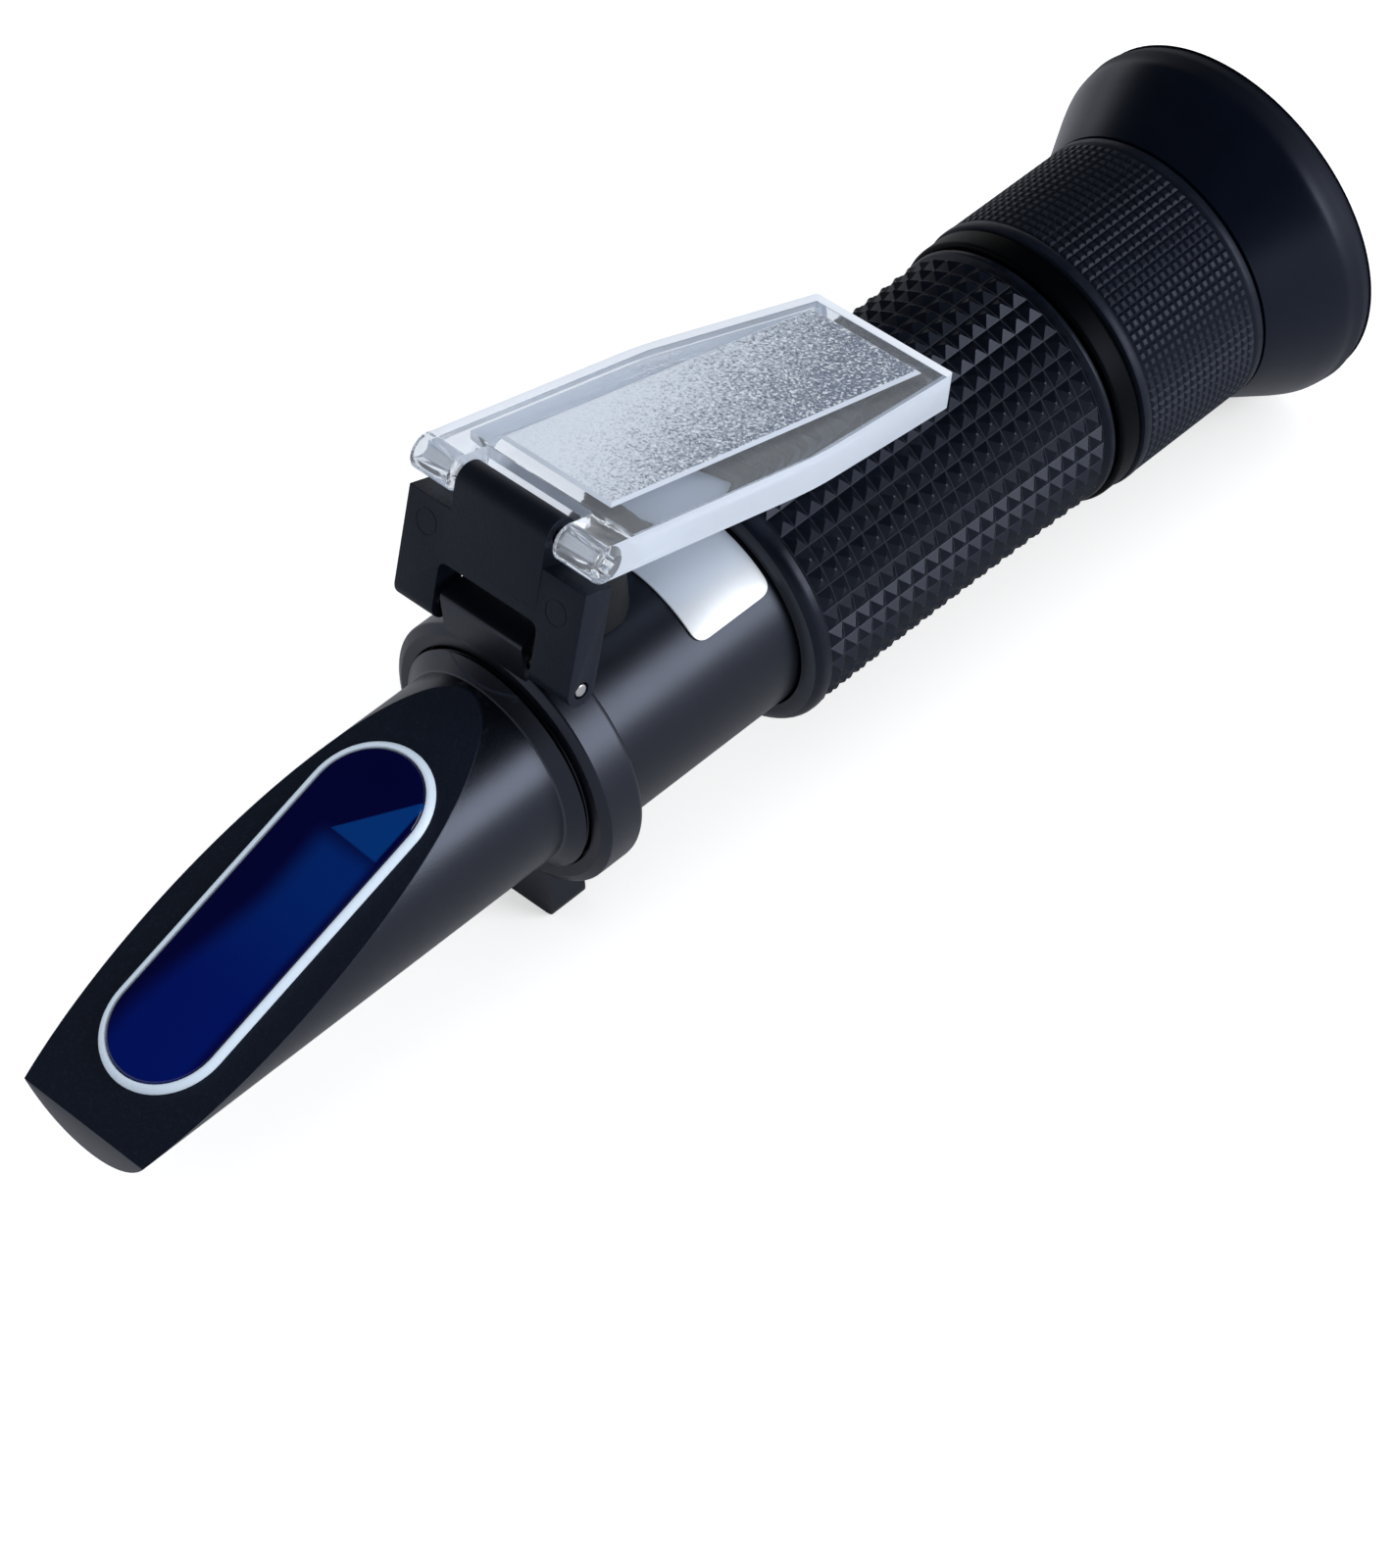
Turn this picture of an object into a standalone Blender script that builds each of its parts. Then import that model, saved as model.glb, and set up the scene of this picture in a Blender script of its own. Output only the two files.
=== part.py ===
"""Handheld refractometer with a hinged daylight plate.

All pieces hang on one empty that lies on the optical axis at the nose tip.
Stations are counted along that axis from the nose tip towards the eye.
"""

import math

import bmesh
import bpy
from mathutils import Matrix

mm = 0.001
degree = math.pi / 180

# Clearances
seat_gap = 0.3 * mm
bond_gap = 0.1 * mm
overrun = 3.0 * mm
weld_distance = 0.001 * mm
turn_weld_distance = 0.01 * mm

# Facets round the turned pieces
steps_large = 40
steps_medium = 24
steps_small = 16

# Widest radius, at the eyecup's rim, and so the height of the axis over a bench
rim_radius = 20.2 * mm

# Prism housing
nose_radius = 10.77 * mm
slant_angle = 18.46 * degree
slant_end_rise = 0.158 * mm
shoulder_radius = 12.5 * mm
shoulder_width = 1.3 * mm
shoulder_fillet = 0.8 * mm
neck_length = 5.8 * mm
light_bore_radius = 7.0 * mm
light_bore_wall = 1.2 * mm
baffle_place = 2.2 * mm
baffle_thickness = 1.0 * mm
baffle_hole_radius = 4.6 * mm

# Measuring prism and its seal, along the slanted face
prism_start = 5.9 * mm
prism_length = 40.1 * mm
prism_width = 12.4 * mm
prism_proud = 0.73 * mm
prism_depth = 4.8 * mm
prism_edge = 0.25 * mm
prism_rear_margin = 10.467 * mm
seal_reach = 0.95 * mm
seal_rise = 0.6 * mm

# Main tube
tube_radius = 12.24 * mm
tube_wall = 1.24 * mm
tube_length = 72.7 * mm

# Hinge collar
collar_gap = 0.4 * mm
collar_radius = 14.85 * mm
collar_width = 4.9 * mm
collar_chamfer = 1.0 * mm
collar_chamfer_length = 0.6 * mm
collar_round = 0.6 * mm
hinge_setback = 1.4 * mm
hinge_rise = 0.7 * mm
top_lug_width = 11.2 * mm
top_lug_rise = 2.8 * mm
top_lug_round = 0.6 * mm
foot_width = 8.7 * mm
foot_setback = 0.5 * mm
foot_corner = 1.2 * mm
collar_screw_radius = 1.5 * mm
collar_screw_inset = 1.1 * mm
socket_radius = 0.9 * mm
socket_depth = 1.4 * mm

# Hinge arm
arm_rest_angle = 70.5 * degree
arm_length = 13.8 * mm
arm_thickness = 3.5 * mm
arm_inset = 0.25 * mm
arm_slot_width = 13.4 * mm
arm_slot_depth = 5.2 * mm
arm_slot_corner = 0.8 * mm
arm_ear_reach = 10.8 * mm
arm_knuckle_play = 1.0 * mm
arm_knuckle_radius = 1.95 * mm
arm_edge = 0.25 * mm
arm_pin_radius = 0.75 * mm
plate_pin_radius = 0.7 * mm
plate_pin_inset = 0.95 * mm

# Daylight plate
plate_rest_angle = -15.3 * degree
plate_face_rise = 2.05 * mm
plate_depth = 4.0 * mm
plate_width = 24.5 * mm
plate_tip_width = 18.6 * mm
plate_straight = 28.3 * mm
plate_length = 50.4 * mm
plate_tip_corner = 0.9 * mm
plate_wall = 1.3 * mm
plate_panel = 1.8 * mm
plate_notch_width = 14.4 * mm
plate_notch_depth = 3.1 * mm
plate_knuckle_radius = 2.0 * mm
frost_start = 5.4 * mm
frost_length = 41.9 * mm
frost_width = 14.2 * mm
frost_depth = 0.15 * mm

# Label on the tube, bare
label_setback = 18.2 * mm
label_length = 10.2 * mm
label_wrap = 52.0 * degree
label_thickness = 0.2 * mm
label_corner = 1.6 * mm

# Calibration screw under its rubber cap
screw_setback = 12.1 * mm
screw_radius = 1.4 * mm
screw_slot_width = 0.5 * mm
screw_slot_depth = 0.7 * mm
screw_throw = 0.4 * mm
throw_pin_radius = 0.6 * mm
throw_pin_length = 1.2 * mm
bush_radius = 2.6 * mm
bush_flange_radius = 3.8 * mm
bush_flange_thickness = 0.9 * mm
bush_rise = 2.9 * mm
bush_seat_depth = 1.2 * mm
o_ring_thickness = 0.7 * mm
cap_radius = 5.0 * mm
cap_rise = 6.2 * mm
cap_roof = 2.6 * mm
cap_round = 0.8 * mm

# Adjusting slide, bimetal strip and objective
slide_wall = 1.5 * mm
slide_length = 12.0 * mm
strip_width = 5.0 * mm
strip_thickness = 0.6 * mm
strip_length = 22.0 * mm
strip_overlap = 5.0 * mm
strip_screw_radius = 0.8 * mm
strip_head_radius = 1.5 * mm
strip_head_height = 0.8 * mm
holder_wall = 1.2 * mm
holder_length = 7.0 * mm
holder_lip = 0.9 * mm
objective_edge = 2.2 * mm
objective_bulge = 0.9 * mm
retainer_thickness = 1.3 * mm
retainer_wall = 0.9 * mm

# Grip sleeve
grip_length = 43.8 * mm
grip_front_rim = 2.7 * mm
grip_swell_length = 1.6 * mm
grip_rear_rim = 1.8 * mm
grip_front_radius = 12.9 * mm
grip_rim_radius = 14.75 * mm
grip_waist_radius = 14.6 * mm
grip_waist_setback = 15.7 * mm
grip_end_radius = 14.92 * mm
knurl_depth = 0.65 * mm
knurl_around = 44
knurl_rows = 20

# Eyepiece end
lock_ring_radius = 15.4 * mm
lock_ring_width = 4.0 * mm
lock_ring_round = 0.5 * mm
focus_radius = 15.65 * mm
focus_width = 16.5 * mm
focus_rim = 2.0 * mm
focus_recess = 0.35 * mm
focus_edge = 0.25 * mm
guide_wall = 1.2 * mm
guide_overlap = 15.1 * mm
guide_reach = 16.7 * mm
reticle_place = 6.0 * mm
reticle_thickness = 1.5 * mm
reticle_lip = 1.0 * mm
eye_tube_wall = 1.0 * mm
eye_tube_setback = 12.0 * mm
eye_tube_rear_gap = 0.6 * mm
eye_o_ring_thickness = 0.9 * mm
eye_o_ring_place = 12.5 * mm
field_lens_edge = 1.6 * mm
field_lens_bulge = 1.6 * mm
spacer_wall = 0.8 * mm
eye_lens_edge = 1.8 * mm
eye_lens_bulge = 1.5 * mm

# Eyecup
cup_neck_radius = 13.2 * mm
cup_neck_wall = 1.6 * mm
cup_neck_length = 4.2 * mm
cup_length = 11.5 * mm
cup_floor = 1.8 * mm
cup_sight_radius = 7.6 * mm
cup_well_radius = 13.6 * mm
cup_lip = 0.45 * mm
cup_mouth_wall = 0.95 * mm
cup_ribs = 2
cup_rib_height = 0.25 * mm
rib_edge_shares = (0.35, 0.65)
flare_station_shares = (0.0, 0.08, 0.24, 0.45, 0.56, 0.67, 0.74, 0.87)
flare_radius_shares = (0.0, 0.12, 0.34, 0.63, 0.78, 0.91, 0.957, 1.0)

# Places that follow from the sizes above
axis_height = rim_radius
slant_rise = math.tan(slant_angle)
nose_length = (prism_start + prism_length) * math.cos(slant_angle) + prism_rear_margin
slant_top = nose_length - shoulder_width - shoulder_fillet / 2
tip_drop = slant_top * slant_rise - nose_radius - slant_end_rise
tube_bore = tube_radius - tube_wall
tube_start = nose_length + seat_gap
tube_end = tube_start + tube_length
screw_station = tube_start + screw_setback
label_start = tube_start + label_setback
collar_bore = tube_radius + seat_gap
collar_start = nose_length + collar_gap
hinge_station = collar_start + hinge_setback
hinge_height = collar_radius + hinge_rise
arm_width = plate_width - 2 * arm_inset
arm_knuckle_width = plate_notch_width - 2 * arm_knuckle_play
plate_pin_length = plate_width - 2 * plate_pin_inset
neck_radius = tube_bore - seat_gap
neck_end = nose_length + neck_length
slide_start = neck_end + 2 * seat_gap
slide_radius = tube_bore - seat_gap
slide_bore = slide_radius - slide_wall
slide_end = slide_start + slide_length
strip_start = slide_end - strip_overlap
strip_end = strip_start + strip_length
strip_corner_radius = slide_bore - seat_gap
strip_bottom = math.sqrt(strip_corner_radius**2 - (strip_width / 2) ** 2)
strip_top = strip_bottom - strip_thickness
holder_radius = strip_top - seat_gap
holder_bore = holder_radius - holder_wall
holder_start = strip_end - holder_length
grip_start = tube_end - grip_length
grip_waist_station = grip_start + grip_waist_setback
guide_radius = tube_bore - seat_gap
guide_bore = guide_radius - guide_wall
guide_start = tube_end - guide_overlap
guide_end = tube_end + guide_reach
lock_ring_start = tube_end + seat_gap
lock_ring_end = lock_ring_start + lock_ring_width
focus_start = lock_ring_end + seat_gap
focus_end = focus_start + focus_width
cup_start = focus_end + seat_gap
overall_length = cup_start + cup_length
eye_tube_radius = guide_bore - seat_gap
eye_tube_bore = eye_tube_radius - eye_tube_wall
eye_tube_start = guide_start + eye_tube_setback
eye_tube_end = cup_start - eye_tube_rear_gap
reticle_station = guide_start + reticle_place
retainer_outer = holder_bore - seat_gap


def clear_scene():
    for obj in list(bpy.data.objects):
        bpy.data.objects.remove(obj)


def new_collection(name):
    collection = bpy.data.collections.new(name)
    bpy.context.scene.collection.children.link(collection)
    return collection


def new_empty(name, parent, location, turn=0.0):
    empty = bpy.data.objects.new(name, None)
    empty.empty_display_size = seat_gap
    parts.objects.link(empty)
    empty.parent = parent
    empty.location = location
    empty.rotation_euler = (0, turn, 0)
    return empty


def new_material(name, color, roughness, metallic=0.0, transmission=0.0):
    material = bpy.data.materials.new(name)
    material.use_nodes = True
    shader = material.node_tree.nodes["Principled BSDF"]
    shader.inputs["Base Color"].default_value = (*color, 1)
    shader.inputs["Roughness"].default_value = roughness
    shader.inputs["Metallic"].default_value = metallic
    shader.inputs["Transmission Weight"].default_value = transmission
    return material


def place(obj, material, parent, location=(0, 0, 0)):
    """Gives a piece its material and its place under its parent."""
    parts.objects.link(obj)
    obj.parent = parent
    obj.location = location
    obj.data.materials.append(material)
    return obj


def object_of(name, bm):
    mesh = bpy.data.meshes.new(name)
    bm.to_mesh(mesh)
    bm.free()
    return bpy.data.objects.new(name, mesh)


def turned(name, profile, steps, along_x=True):
    """A turned piece. The profile lists (station, radius), outer side first, front to rear."""
    points = list(reversed(profile))
    half_step = math.pi / steps
    bm = bmesh.new()
    verts = [
        bm.verts.new((radius * math.cos(half_step), radius * math.sin(half_step), station))
        for station, radius in points
    ]
    for first, second in zip(verts, verts[1:]):
        bm.edges.new((first, second))
    touches_axis = points[0][1] == 0
    if not touches_axis:
        bm.edges.new((verts[-1], verts[0]))
    obj = object_of(name, bm)
    screw = obj.modifiers.new("Turn", "SCREW")
    screw.steps = steps
    screw.render_steps = steps
    screw.use_merge_vertices = True
    screw.merge_threshold = turn_weld_distance
    if along_x:
        obj.rotation_euler = (0, math.pi / 2, 0)
    return obj


def outlined(name, outlines, thickness, middle=0.0):
    """A flat outline, or an outline with holes, with this thickness about a middle height."""
    curve = bpy.data.curves.new(name, "CURVE")
    curve.dimensions = "2D"
    curve.fill_mode = "BOTH"
    curve.extrude = thickness / 2
    for outline in outlines:
        spline = curve.splines.new("POLY")
        spline.points.add(len(outline) - 1)
        for point, (x, y) in zip(spline.points, outline):
            point.co = (x, y, 0, 1)
        spline.use_cyclic_u = True
    guide = bpy.data.objects.new(name, curve)
    bpy.context.scene.collection.objects.link(guide)
    graph = bpy.context.evaluated_depsgraph_get()
    mesh = bpy.data.meshes.new_from_object(guide.evaluated_get(graph))
    bpy.data.objects.remove(guide)
    bpy.data.curves.remove(curve)
    bm = bmesh.new()
    bm.from_mesh(mesh)
    bpy.data.meshes.remove(mesh)
    bmesh.ops.remove_doubles(bm, verts=bm.verts, dist=weld_distance)
    bmesh.ops.recalc_face_normals(bm, faces=bm.faces)
    bm.transform(Matrix.Translation((0, 0, middle)))
    return object_of(name, bm)


def stand_up(obj):
    """Turns an outline drawn as a side view, so that its thickness runs across the object."""
    obj.data.transform(Matrix.Rotation(math.pi / 2, 4, "X"))
    return obj


def rod(name, radius, start, end, axis, steps):
    """A plain round rod along X, Y or Z, between two places on that axis."""
    bm = bmesh.new()
    bmesh.ops.create_cone(
        bm, cap_ends=True, segments=steps, radius1=radius, radius2=radius, depth=end - start
    )
    bm.transform(Matrix.Rotation(math.pi / steps, 4, "Z"))
    bm.transform(Matrix.Translation((0, 0, (start + end) / 2)))
    if axis == "X":
        bm.transform(Matrix.Rotation(math.pi / 2, 4, "Y"))
    if axis == "Y":
        bm.transform(Matrix.Rotation(-math.pi / 2, 4, "X"))
    return object_of(name, bm)


def block(name, low, high):
    """A box between two opposite corners."""
    bm = bmesh.new()
    bmesh.ops.create_cube(bm, size=1)
    bm.transform(Matrix.Diagonal([b - a for a, b in zip(low, high)]).to_4x4())
    bm.transform(Matrix.Translation([(a + b) / 2 for a, b in zip(low, high)]))
    return object_of(name, bm)


def shape_with(obj, tool, operation, parent=None, location=(0, 0, 0)):
    """Cuts a piece with a tool, or joins the tool to it."""
    cutters.objects.link(tool)
    tool.parent = parent or obj.parent
    tool.location = location
    tool.hide_render = True
    tool.display_type = "WIRE"
    boolean = obj.modifiers.new(tool.name, "BOOLEAN")
    boolean.operation = operation
    boolean.object = tool


def soften(obj, width, angle=40 * degree):
    """Rounds the sharp edges of a moulded or machined piece."""
    bevel = obj.modifiers.new("Soften", "BEVEL")
    bevel.width = width
    bevel.segments = 1
    bevel.limit_method = "ANGLE"
    bevel.angle_limit = angle


def arc(center, radius, start, end, steps):
    """Points on an arc in a flat outline, from one angle to another."""
    angles = [start + (end - start) * step / steps for step in range(steps + 1)]
    return [(center[0] + radius * math.cos(a), center[1] + radius * math.sin(a)) for a in angles]


def rounded_rectangle(low, high, radius, steps):
    """The outline of a rectangle with round corners."""
    corners = [
        ((high[0] - radius, high[1] - radius), 0),
        ((low[0] + radius, high[1] - radius), 90 * degree),
        ((low[0] + radius, low[1] + radius), 180 * degree),
        ((high[0] - radius, low[1] + radius), 270 * degree),
    ]
    outline = []
    for center, start in corners:
        outline += arc(center, radius, start, start + 90 * degree, steps)
    return outline


def ring_profile(start, end, outer, inner):
    return [(start, outer), (end, outer), (end, inner), (start, inner)]


def chamfered_ring(start, end, outer, inner, chamfer):
    return [
        (start, outer - chamfer),
        (start + chamfer, outer),
        (end - chamfer, outer),
        (end, outer - chamfer),
        (end, inner),
        (start, inner),
    ]


def lens_profile(middle, radius, edge, bulge, steps=3):
    """A lens with two bulging faces, from its front vertex round its edge to its rear vertex."""
    shares = [step / steps for step in range(steps + 1)]
    front = [
        (middle - edge / 2 - bulge * (1 - share**2), radius * share) for share in shares
    ]
    rear = [
        (middle + edge / 2 + bulge * (1 - share**2), radius * share) for share in reversed(shares)
    ]
    return front + rear


def bulge_gap(bulge, radius, seat_radius):
    """How far a seat of this radius lies off a lens's edge, to clear the bulge of its face."""
    return bulge * (1 - (seat_radius / radius) ** 2) + bond_gap


def o_ring_profile(place_on_axis, inner, thickness, steps=6):
    half = thickness / 2
    loop = arc((0, 0), half, 180 * degree, -180 * degree, steps)[:-1]
    return [(place_on_axis + x, inner + half + y) for x, y in loop]


def build_prism_housing(black):
    """The cast nose: a round bar cut off at a slant, with a shoulder and a neck for the tube."""
    profile = [(0, 0), (0, nose_radius)]
    fillet_center = (nose_length - shoulder_width - shoulder_fillet, nose_radius + shoulder_fillet)
    profile += arc(fillet_center, shoulder_fillet, -90 * degree, 0, 3)
    profile += [
        (nose_length - shoulder_width, shoulder_radius),
        (nose_length, shoulder_radius),
        (nose_length, neck_radius),
        (neck_end, neck_radius),
        (neck_end, 0),
    ]
    housing = place(turned("prism_housing", profile, steps_large), black, instrument)
    above_slant = outlined(
        "above_slant",
        [
            [
                (-overrun, -tip_drop - overrun * slant_rise),
                (slant_top, slant_top * slant_rise - tip_drop),
                (slant_top, rim_radius),
                (-overrun, rim_radius),
            ]
        ],
        2 * rim_radius,
    )
    shape_with(housing, stand_up(above_slant), "DIFFERENCE")
    light_bore_start = (tip_drop + light_bore_radius + light_bore_wall) / slant_rise
    bore = rod(
        "light_bore", light_bore_radius, light_bore_start, neck_end + overrun, "X", steps_medium
    )
    shape_with(housing, bore, "DIFFERENCE")
    pocket = stadium(
        "prism_pocket", bond_gap, overrun, -prism_depth - seat_gap, steps_medium // 2
    )
    shape_with(housing, pocket, "DIFFERENCE", slant_face)
    return housing


def stadium_outline(growth, steps):
    """The long outline with round ends that the prism has in its slanted face."""
    radius = prism_width / 2 + growth
    near = prism_start + prism_width / 2
    far = prism_start + prism_length - prism_width / 2
    outline = arc((far, 0), radius, -90 * degree, 90 * degree, steps)
    return outline + arc((near, 0), radius, 90 * degree, 270 * degree, steps)


def stadium(name, growth, top, bottom, steps):
    return outlined(name, [stadium_outline(growth, steps)], top - bottom, (top + bottom) / 2)


def build_measuring_prism(blue_glass):
    prism = stadium("measuring_prism", 0, prism_proud, -prism_depth, steps_medium // 2)
    place(prism, blue_glass, slant_face)
    soften(prism, prism_edge)
    return prism


def build_prism_seal(white_seal):
    """The bead that slopes from the glass edge down to the slanted face."""
    section = [
        (bond_gap, bond_gap),
        (seal_reach, bond_gap),
        (seal_reach - bond_gap, 2 * bond_gap),
        (bond_gap, seal_rise),
    ]
    bm = bmesh.new()
    rows = []
    for growth, height in section:
        outline = stadium_outline(growth, steps_medium // 2)
        rows.append([bm.verts.new((x, y, height)) for x, y in outline])
    count = len(rows[0])
    for row, following in zip(rows, rows[1:] + rows[:1]):
        for k in range(count):
            after = (k + 1) % count
            bm.faces.new((row[k], row[after], following[after], following[k]))
    bmesh.ops.recalc_face_normals(bm, faces=bm.faces)
    return place(object_of("prism_seal", bm), white_seal, slant_face)


def build_prism_baffle(black):
    start = nose_length + baffle_place
    profile = ring_profile(
        start, start + baffle_thickness, light_bore_radius - bond_gap, baffle_hole_radius
    )
    return place(turned("prism_baffle", profile, steps_small), black, instrument)


def build_hinge_collar(black):
    """The ring on the tube that carries the hinge lug above and the foot below."""
    end = collar_start + collar_width
    profile = [
        (collar_start, collar_radius - collar_chamfer),
        (collar_start + collar_chamfer_length, collar_radius),
    ]
    round_center = (end - collar_round, collar_radius - collar_round)
    profile += arc(round_center, collar_round, 90 * degree, 0, 3)
    profile += [(end, collar_bore), (collar_start, collar_bore)]
    collar = place(turned("hinge_collar", profile, steps_large), black, instrument)
    top = hinge_height + top_lug_rise
    base = collar_bore + (collar_radius - collar_bore) / 2
    lug_outline = [(end, base), (end, top - top_lug_round)]
    lug_outline += [(end - top_lug_round, top), (collar_start + top_lug_round, top)]
    lug_outline += [(collar_start, top - top_lug_round), (collar_start, base)]
    lug = stand_up(outlined("top_lug", [lug_outline], top_lug_width))
    shape_with(collar, lug, "UNION")
    half = foot_width / 2
    foot_outline = [
        (-half, -base),
        (-half, foot_corner - rim_radius),
        (foot_corner - half, -rim_radius),
        (half - foot_corner, -rim_radius),
        (half, foot_corner - rim_radius),
        (half, -base),
    ]
    foot = outlined("foot_lug", [foot_outline], collar_width - foot_setback)
    foot.data.transform(Matrix.Rotation(math.pi / 2, 4, "X"))
    foot.data.transform(Matrix.Rotation(math.pi / 2, 4, "Z"))
    foot_middle = collar_start + (foot_setback + collar_width) / 2
    shape_with(collar, foot, "UNION", location=(foot_middle, 0, 0))
    bore = rod("collar_bore", collar_bore, collar_start - overrun, end + overrun, "X", steps_large)
    shape_with(collar, bore, "DIFFERENCE")
    pin_hole = rod(
        "lug_pin_hole", arm_pin_radius + seat_gap, -top_lug_width, top_lug_width, "Y", steps_small
    )
    shape_with(collar, pin_hole, "DIFFERENCE", location=(hinge_station, 0, hinge_height))
    screw_hole = rod(
        "foot_screw_hole",
        collar_screw_radius + seat_gap,
        -rim_radius - overrun,
        -tube_radius,
        "Z",
        steps_small,
    )
    shape_with(collar, screw_hole, "DIFFERENCE", location=(foot_middle, 0, 0))
    return collar


def build_collar_screw(steel):
    """The grub screw in the foot that clamps the collar to the tube."""
    low = collar_screw_inset - rim_radius
    foot_middle = collar_start + (foot_setback + collar_width) / 2
    screw = rod("collar_screw", collar_screw_radius, low, -collar_bore, "Z", steps_small)
    place(screw, steel, instrument, (foot_middle, 0, 0))
    socket = rod("collar_screw_socket", socket_radius, low - overrun, low + socket_depth, "Z", 6)
    shape_with(screw, socket, "DIFFERENCE", location=(foot_middle, 0, 0))
    return screw


def build_arm_pin(steel):
    pin = rod("arm_pin", arm_pin_radius, -arm_width / 2, arm_width / 2, "Y", steps_small)
    return place(pin, steel, instrument, (hinge_station, 0, hinge_height))


def build_flap_arm(matte_black):
    """The yoke between the collar and the plate, drawn as a side view along its length."""
    half = arm_thickness / 2
    side = arc((0, 0), half, 90 * degree, 270 * degree, 8)
    side += [(arm_ear_reach, -half), (arm_ear_reach, half)]
    arm = stand_up(outlined("flap_arm", [side], arm_width))
    place(arm, matte_black, arm_hinge)
    soften(arm, arm_edge)
    knuckle_side = [(arm_slot_depth + arm_slot_corner, half)]
    knuckle_side += [(arm_slot_depth + arm_slot_corner, -half)]
    knuckle_side += arc((arm_length, 0), arm_knuckle_radius, -90 * degree, 90 * degree, 8)
    knuckle = stand_up(outlined("arm_knuckle", [knuckle_side], arm_knuckle_width))
    shape_with(arm, knuckle, "UNION")
    slot = rounded_rectangle(
        (-arm_slot_depth, -arm_slot_width / 2),
        (arm_slot_depth, arm_slot_width / 2),
        arm_slot_corner,
        3,
    )
    shape_with(arm, outlined("arm_slot", [slot], 2 * arm_thickness), "DIFFERENCE")
    pin_hole = rod(
        "arm_pin_hole", arm_pin_radius + seat_gap, -arm_width, arm_width, "Y", steps_small
    )
    shape_with(arm, pin_hole, "DIFFERENCE")
    knuckle_hole = rod(
        "arm_knuckle_hole", plate_pin_radius + seat_gap, -arm_width, arm_width, "Y", steps_small
    )
    shape_with(arm, knuckle_hole, "DIFFERENCE", location=(arm_length, 0, 0))
    return arm


def build_plate_pin(steel):
    pin = rod(
        "plate_pin", plate_pin_radius, -plate_pin_length / 2, plate_pin_length / 2, "Y", steps_small
    )
    return place(pin, steel, arm_hinge, (arm_length, 0, 0))


def plate_half_outline(inset, start, end):
    """One edge of the plate: straight along its sides, then tapering to the free end."""
    wide = plate_width / 2 - inset
    narrow = plate_tip_width / 2 - inset
    taper = (wide - narrow) / (plate_length - plate_straight)
    return [(start, wide), (plate_straight, wide), (end, wide - taper * (end - plate_straight))]


def mirrored(edge):
    """An edge of an outline with its mirror image, as one loop."""
    return edge + [(x, -y) for x, y in reversed(edge)]


def build_daylight_plate(clear):
    """The clear tray: a flat panel with side walls, on two knuckles."""
    floor = plate_face_rise - plate_depth
    middle = plate_face_rise - plate_depth / 2
    notch = plate_notch_width / 2
    edge = [(plate_notch_depth, notch), (0, notch)]
    edge += plate_half_outline(0, 0, plate_length - plate_tip_corner)
    edge += [(plate_length, plate_tip_width / 2 - plate_tip_corner)]
    plate = outlined("daylight_plate", [mirrored(edge)], plate_depth, middle)
    place(plate, clear, plate_hinge)
    pocket_edge = plate_half_outline(
        plate_wall, plate_notch_depth + plate_wall, plate_length + overrun
    )
    panel_under = plate_face_rise - plate_panel
    pocket_height = panel_under - floor + overrun
    pocket = outlined(
        "plate_pocket", [mirrored(pocket_edge)], pocket_height, panel_under - pocket_height / 2
    )
    shape_with(plate, pocket, "DIFFERENCE")
    knuckle_start = plate_notch_width / 2
    for side, name in ((1, "left"), (-1, "right")):
        ends = sorted((side * knuckle_start, side * plate_width / 2))
        knuckle = rod(f"plate_knuckle_{name}", plate_knuckle_radius, *ends, "Y", steps_small)
        shape_with(plate, knuckle, "UNION")
    frost = block(
        "frost_recess",
        (frost_start, -frost_width / 2, plate_face_rise - frost_depth),
        (frost_start + frost_length, frost_width / 2, plate_face_rise + overrun),
    )
    shape_with(plate, frost, "DIFFERENCE")
    pin_hole = rod(
        "plate_pin_hole", plate_pin_radius + seat_gap, -plate_width, plate_width, "Y", steps_small
    )
    shape_with(plate, pin_hole, "DIFFERENCE")
    return plate


def build_main_tube(black):
    profile = ring_profile(tube_start, tube_end, tube_radius, tube_bore)
    tube = place(turned("main_tube", profile, steps_large), black, instrument)
    hole = rod("bush_hole", bush_radius + seat_gap, 0, rim_radius, "Z", steps_small)
    shape_with(tube, hole, "DIFFERENCE", location=(screw_station, 0, 0))
    return tube


def build_label_plate(silver):
    """A thin bare plate with round corners, wrapped over the top of the tube."""
    inner = tube_radius + bond_gap
    outer = inner + label_thickness
    label_end = label_start + label_length
    profile = ring_profile(label_start, label_end, outer, inner)
    label = place(turned("label_plate", profile, steps_large), silver, instrument)
    half = outer * math.sin(label_wrap)
    outline = rounded_rectangle((label_start, -half), (label_end, half), label_corner, 4)
    blank = outlined("label_blank", [outline], rim_radius, rim_radius / 2)
    shape_with(label, blank, "INTERSECT")
    return label


def build_calibration_cap(rubber):
    """The rubber cap over the screw, with a saddle that fits the tube."""
    top = tube_radius + cap_rise
    low = math.sqrt((tube_radius + bond_gap) ** 2 - cap_radius**2)
    cavity = bush_flange_radius + seat_gap
    profile = [(top, 0)]
    profile += arc((top - cap_round, cap_radius - cap_round), cap_round, 0, 90 * degree, 3)
    profile += [(low, cap_radius), (low, cavity), (top - cap_roof, cavity), (top - cap_roof, 0)]
    cap = turned("calibration_cap", list(reversed(profile)), steps_medium, along_x=False)
    place(cap, rubber, instrument, (screw_station, 0, 0))
    saddle = rod(
        "cap_saddle", tube_radius + bond_gap, screw_station - 2 * cap_radius,
        screw_station + 2 * cap_radius, "X", steps_large,
    )
    shape_with(cap, saddle, "DIFFERENCE")
    return cap


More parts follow.
